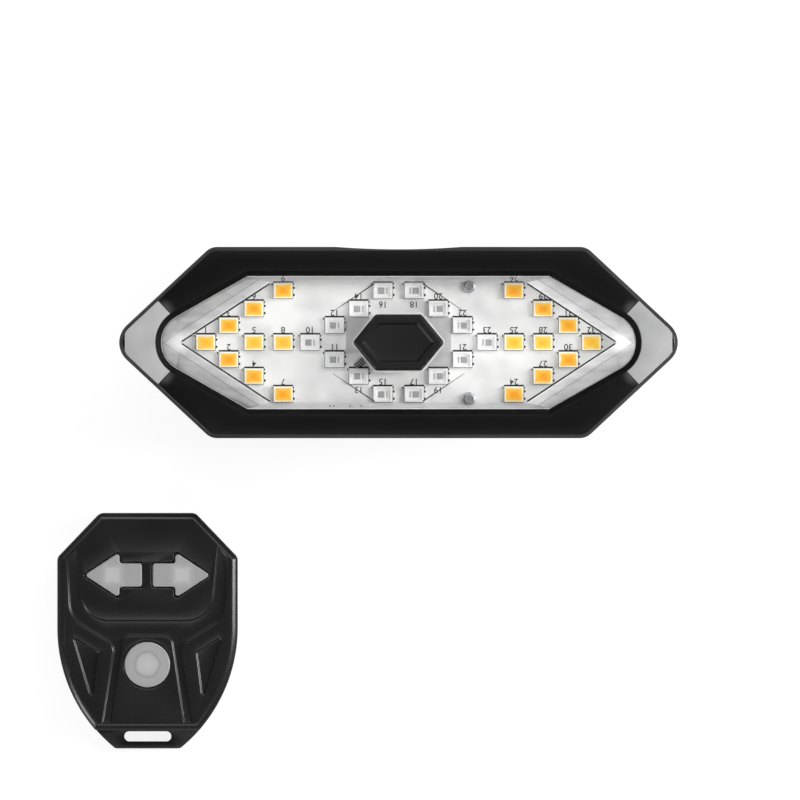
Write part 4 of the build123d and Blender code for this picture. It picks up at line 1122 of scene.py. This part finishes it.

# %% [markdown]
# ## The printed marks of the board, and painted shade under the LEDs
#
# The board is printed with a black line above each LED, heavier than the rest, with short ticks at its
# sides and the LED's number. Thin dark strips run along each LED's sides, and a strip of painted shade
# along its foot, where the case shades the board. The board was fitted the other way up, so the numbers
# stand on their heads. Each mark is a flat strip that lies on the board like a coat of ink.


# %% Printed marks
ink = plain_finish("black_board_ink_and_shade", "#0E0E0E", "#1C1C1C", patch_mm=0.8, roughness=0.6)
ink_height = 0.03 * millimetre
line_width = 0.30 * millimetre
line_gap = 0.06 * millimetre
thin_line = 0.09 * millimetre
tick_length = 0.42 * millimetre
tick_share = 0.6  # a tick's width, as a share of a line's
spot_shares = (0.15, 0.62)  # where the spots stand along a case's right side
dot_side = 0.24 * millimetre
dots_down = 11.65 * millimetre  # from the lamp's middle
dots_along_mm = (-12.6, -11.9, -8.9, -6.9)
pad_low, pad_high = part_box("switch_pad")


def on_pad(x, y):
    """Whether a point of the plan lies on the grey pad, which is cut away at its lower left."""
    cut_away = x < lamp_middle.x and y < lamp_middle.y
    return pad_low.x < x < pad_high.x and pad_low.y < y < pad_high.y and not cut_away


def strip(name, x_low, x_high, y_low, y_high):
    """A flat strip of ink on the board, or on the pad where that covers the board."""
    middle_x, middle_y = (x_low + x_high) * half, (y_low + y_high) * half
    bottom = pad_high.z if on_pad(middle_x, middle_y) else board_top
    return small_plate(
        name, Vector((x_low, y_low, bottom)), Vector((x_high, y_high, bottom + ink_height))
    )


marks = []
led_boxes = []
for node in ("amber_leds_left", "brake_leds", "amber_leds_right"):
    led_boxes += loose_boxes(node)
for low, high in led_boxes:
    top = high.y + line_gap
    marks.append(strip("line", low.x - line_gap, high.x + line_gap, top, top + line_width))
    for x in (low.x - line_gap - line_width, high.x + line_gap):
        marks.append(strip("tick", x, x + line_width * tick_share, top - tick_length, top))
    for share in spot_shares:
        y = low.y + (high.y - low.y) * share
        x = high.x + line_gap
        marks.append(strip("tick", x, x + line_width, y, y + tick_length))
    marks.append(strip("side", low.x - thin_line, low.x, low.y, high.y))
    marks.append(strip("side", high.x, high.x + thin_line, low.y, high.y))
    # painted shade: a thin dark strip along the LED's foot, where its case shades the board
    marks.append(strip("foot", low.x, high.x, low.y - thin_line, low.y))
dot_y = lamp_middle.y - dots_down
for along_mm in dots_along_mm:
    x = lamp_middle.x + along_mm * millimetre
    marks.append(strip("dot", x, x + dot_side, dot_y, dot_y + dot_side))
join(marks, "board_print_and_shade_lines", ink, "led_board")

number_height = 1.15 * millimetre
number_boldness = 0.012 * millimetre
capital_share = 0.72  # a figure's height, as a share of the size of the type
number_above = 1.75 * millimetre
number_below = 0.25 * millimetre
by_the_button = 5 * millimetre  # LEDs nearer to the lamp's middle than this stand by the button


def number_mark(number, x, y):
    """A plain number, printed upside down."""
    bpy.ops.object.text_add(location=(x, y, board_top + hair), rotation=(0, 0, pi))
    text = bpy.context.object
    text.data.body = str(number)
    text.data.size = number_height / capital_share
    text.data.align_x = "CENTER"
    text.data.align_y = "BOTTOM"
    text.data.extrude = ink_height * half
    text.data.offset = number_boldness
    activate(text)
    bpy.ops.object.convert(target="MESH")
    bpy.ops.object.transform_apply(location=True, rotation=True, scale=True)
    return bpy.context.object


# Most numbers stand above their LEDs. Those of the LEDs above the button stand below, and so do those
# at the lower corners of the pad.
numbers = []
for number, (low, high) in enumerate(led_boxes, start=1):
    middle = (low + high) * half
    near_button = abs(middle.x - lamp_middle.x) < by_the_button
    if middle.y > lamp_middle.y:
        below = near_button
    else:
        below = pad_low.x < middle.x < pad_high.x and not near_button
    y = low.y - number_below if below else high.y + number_above
    numbers.append(number_mark(number, middle.x, y))
join(numbers, "board_print_numbers", ink, "led_board")
print("printed", len(marks), "strips and", len(numbers), "numbers")
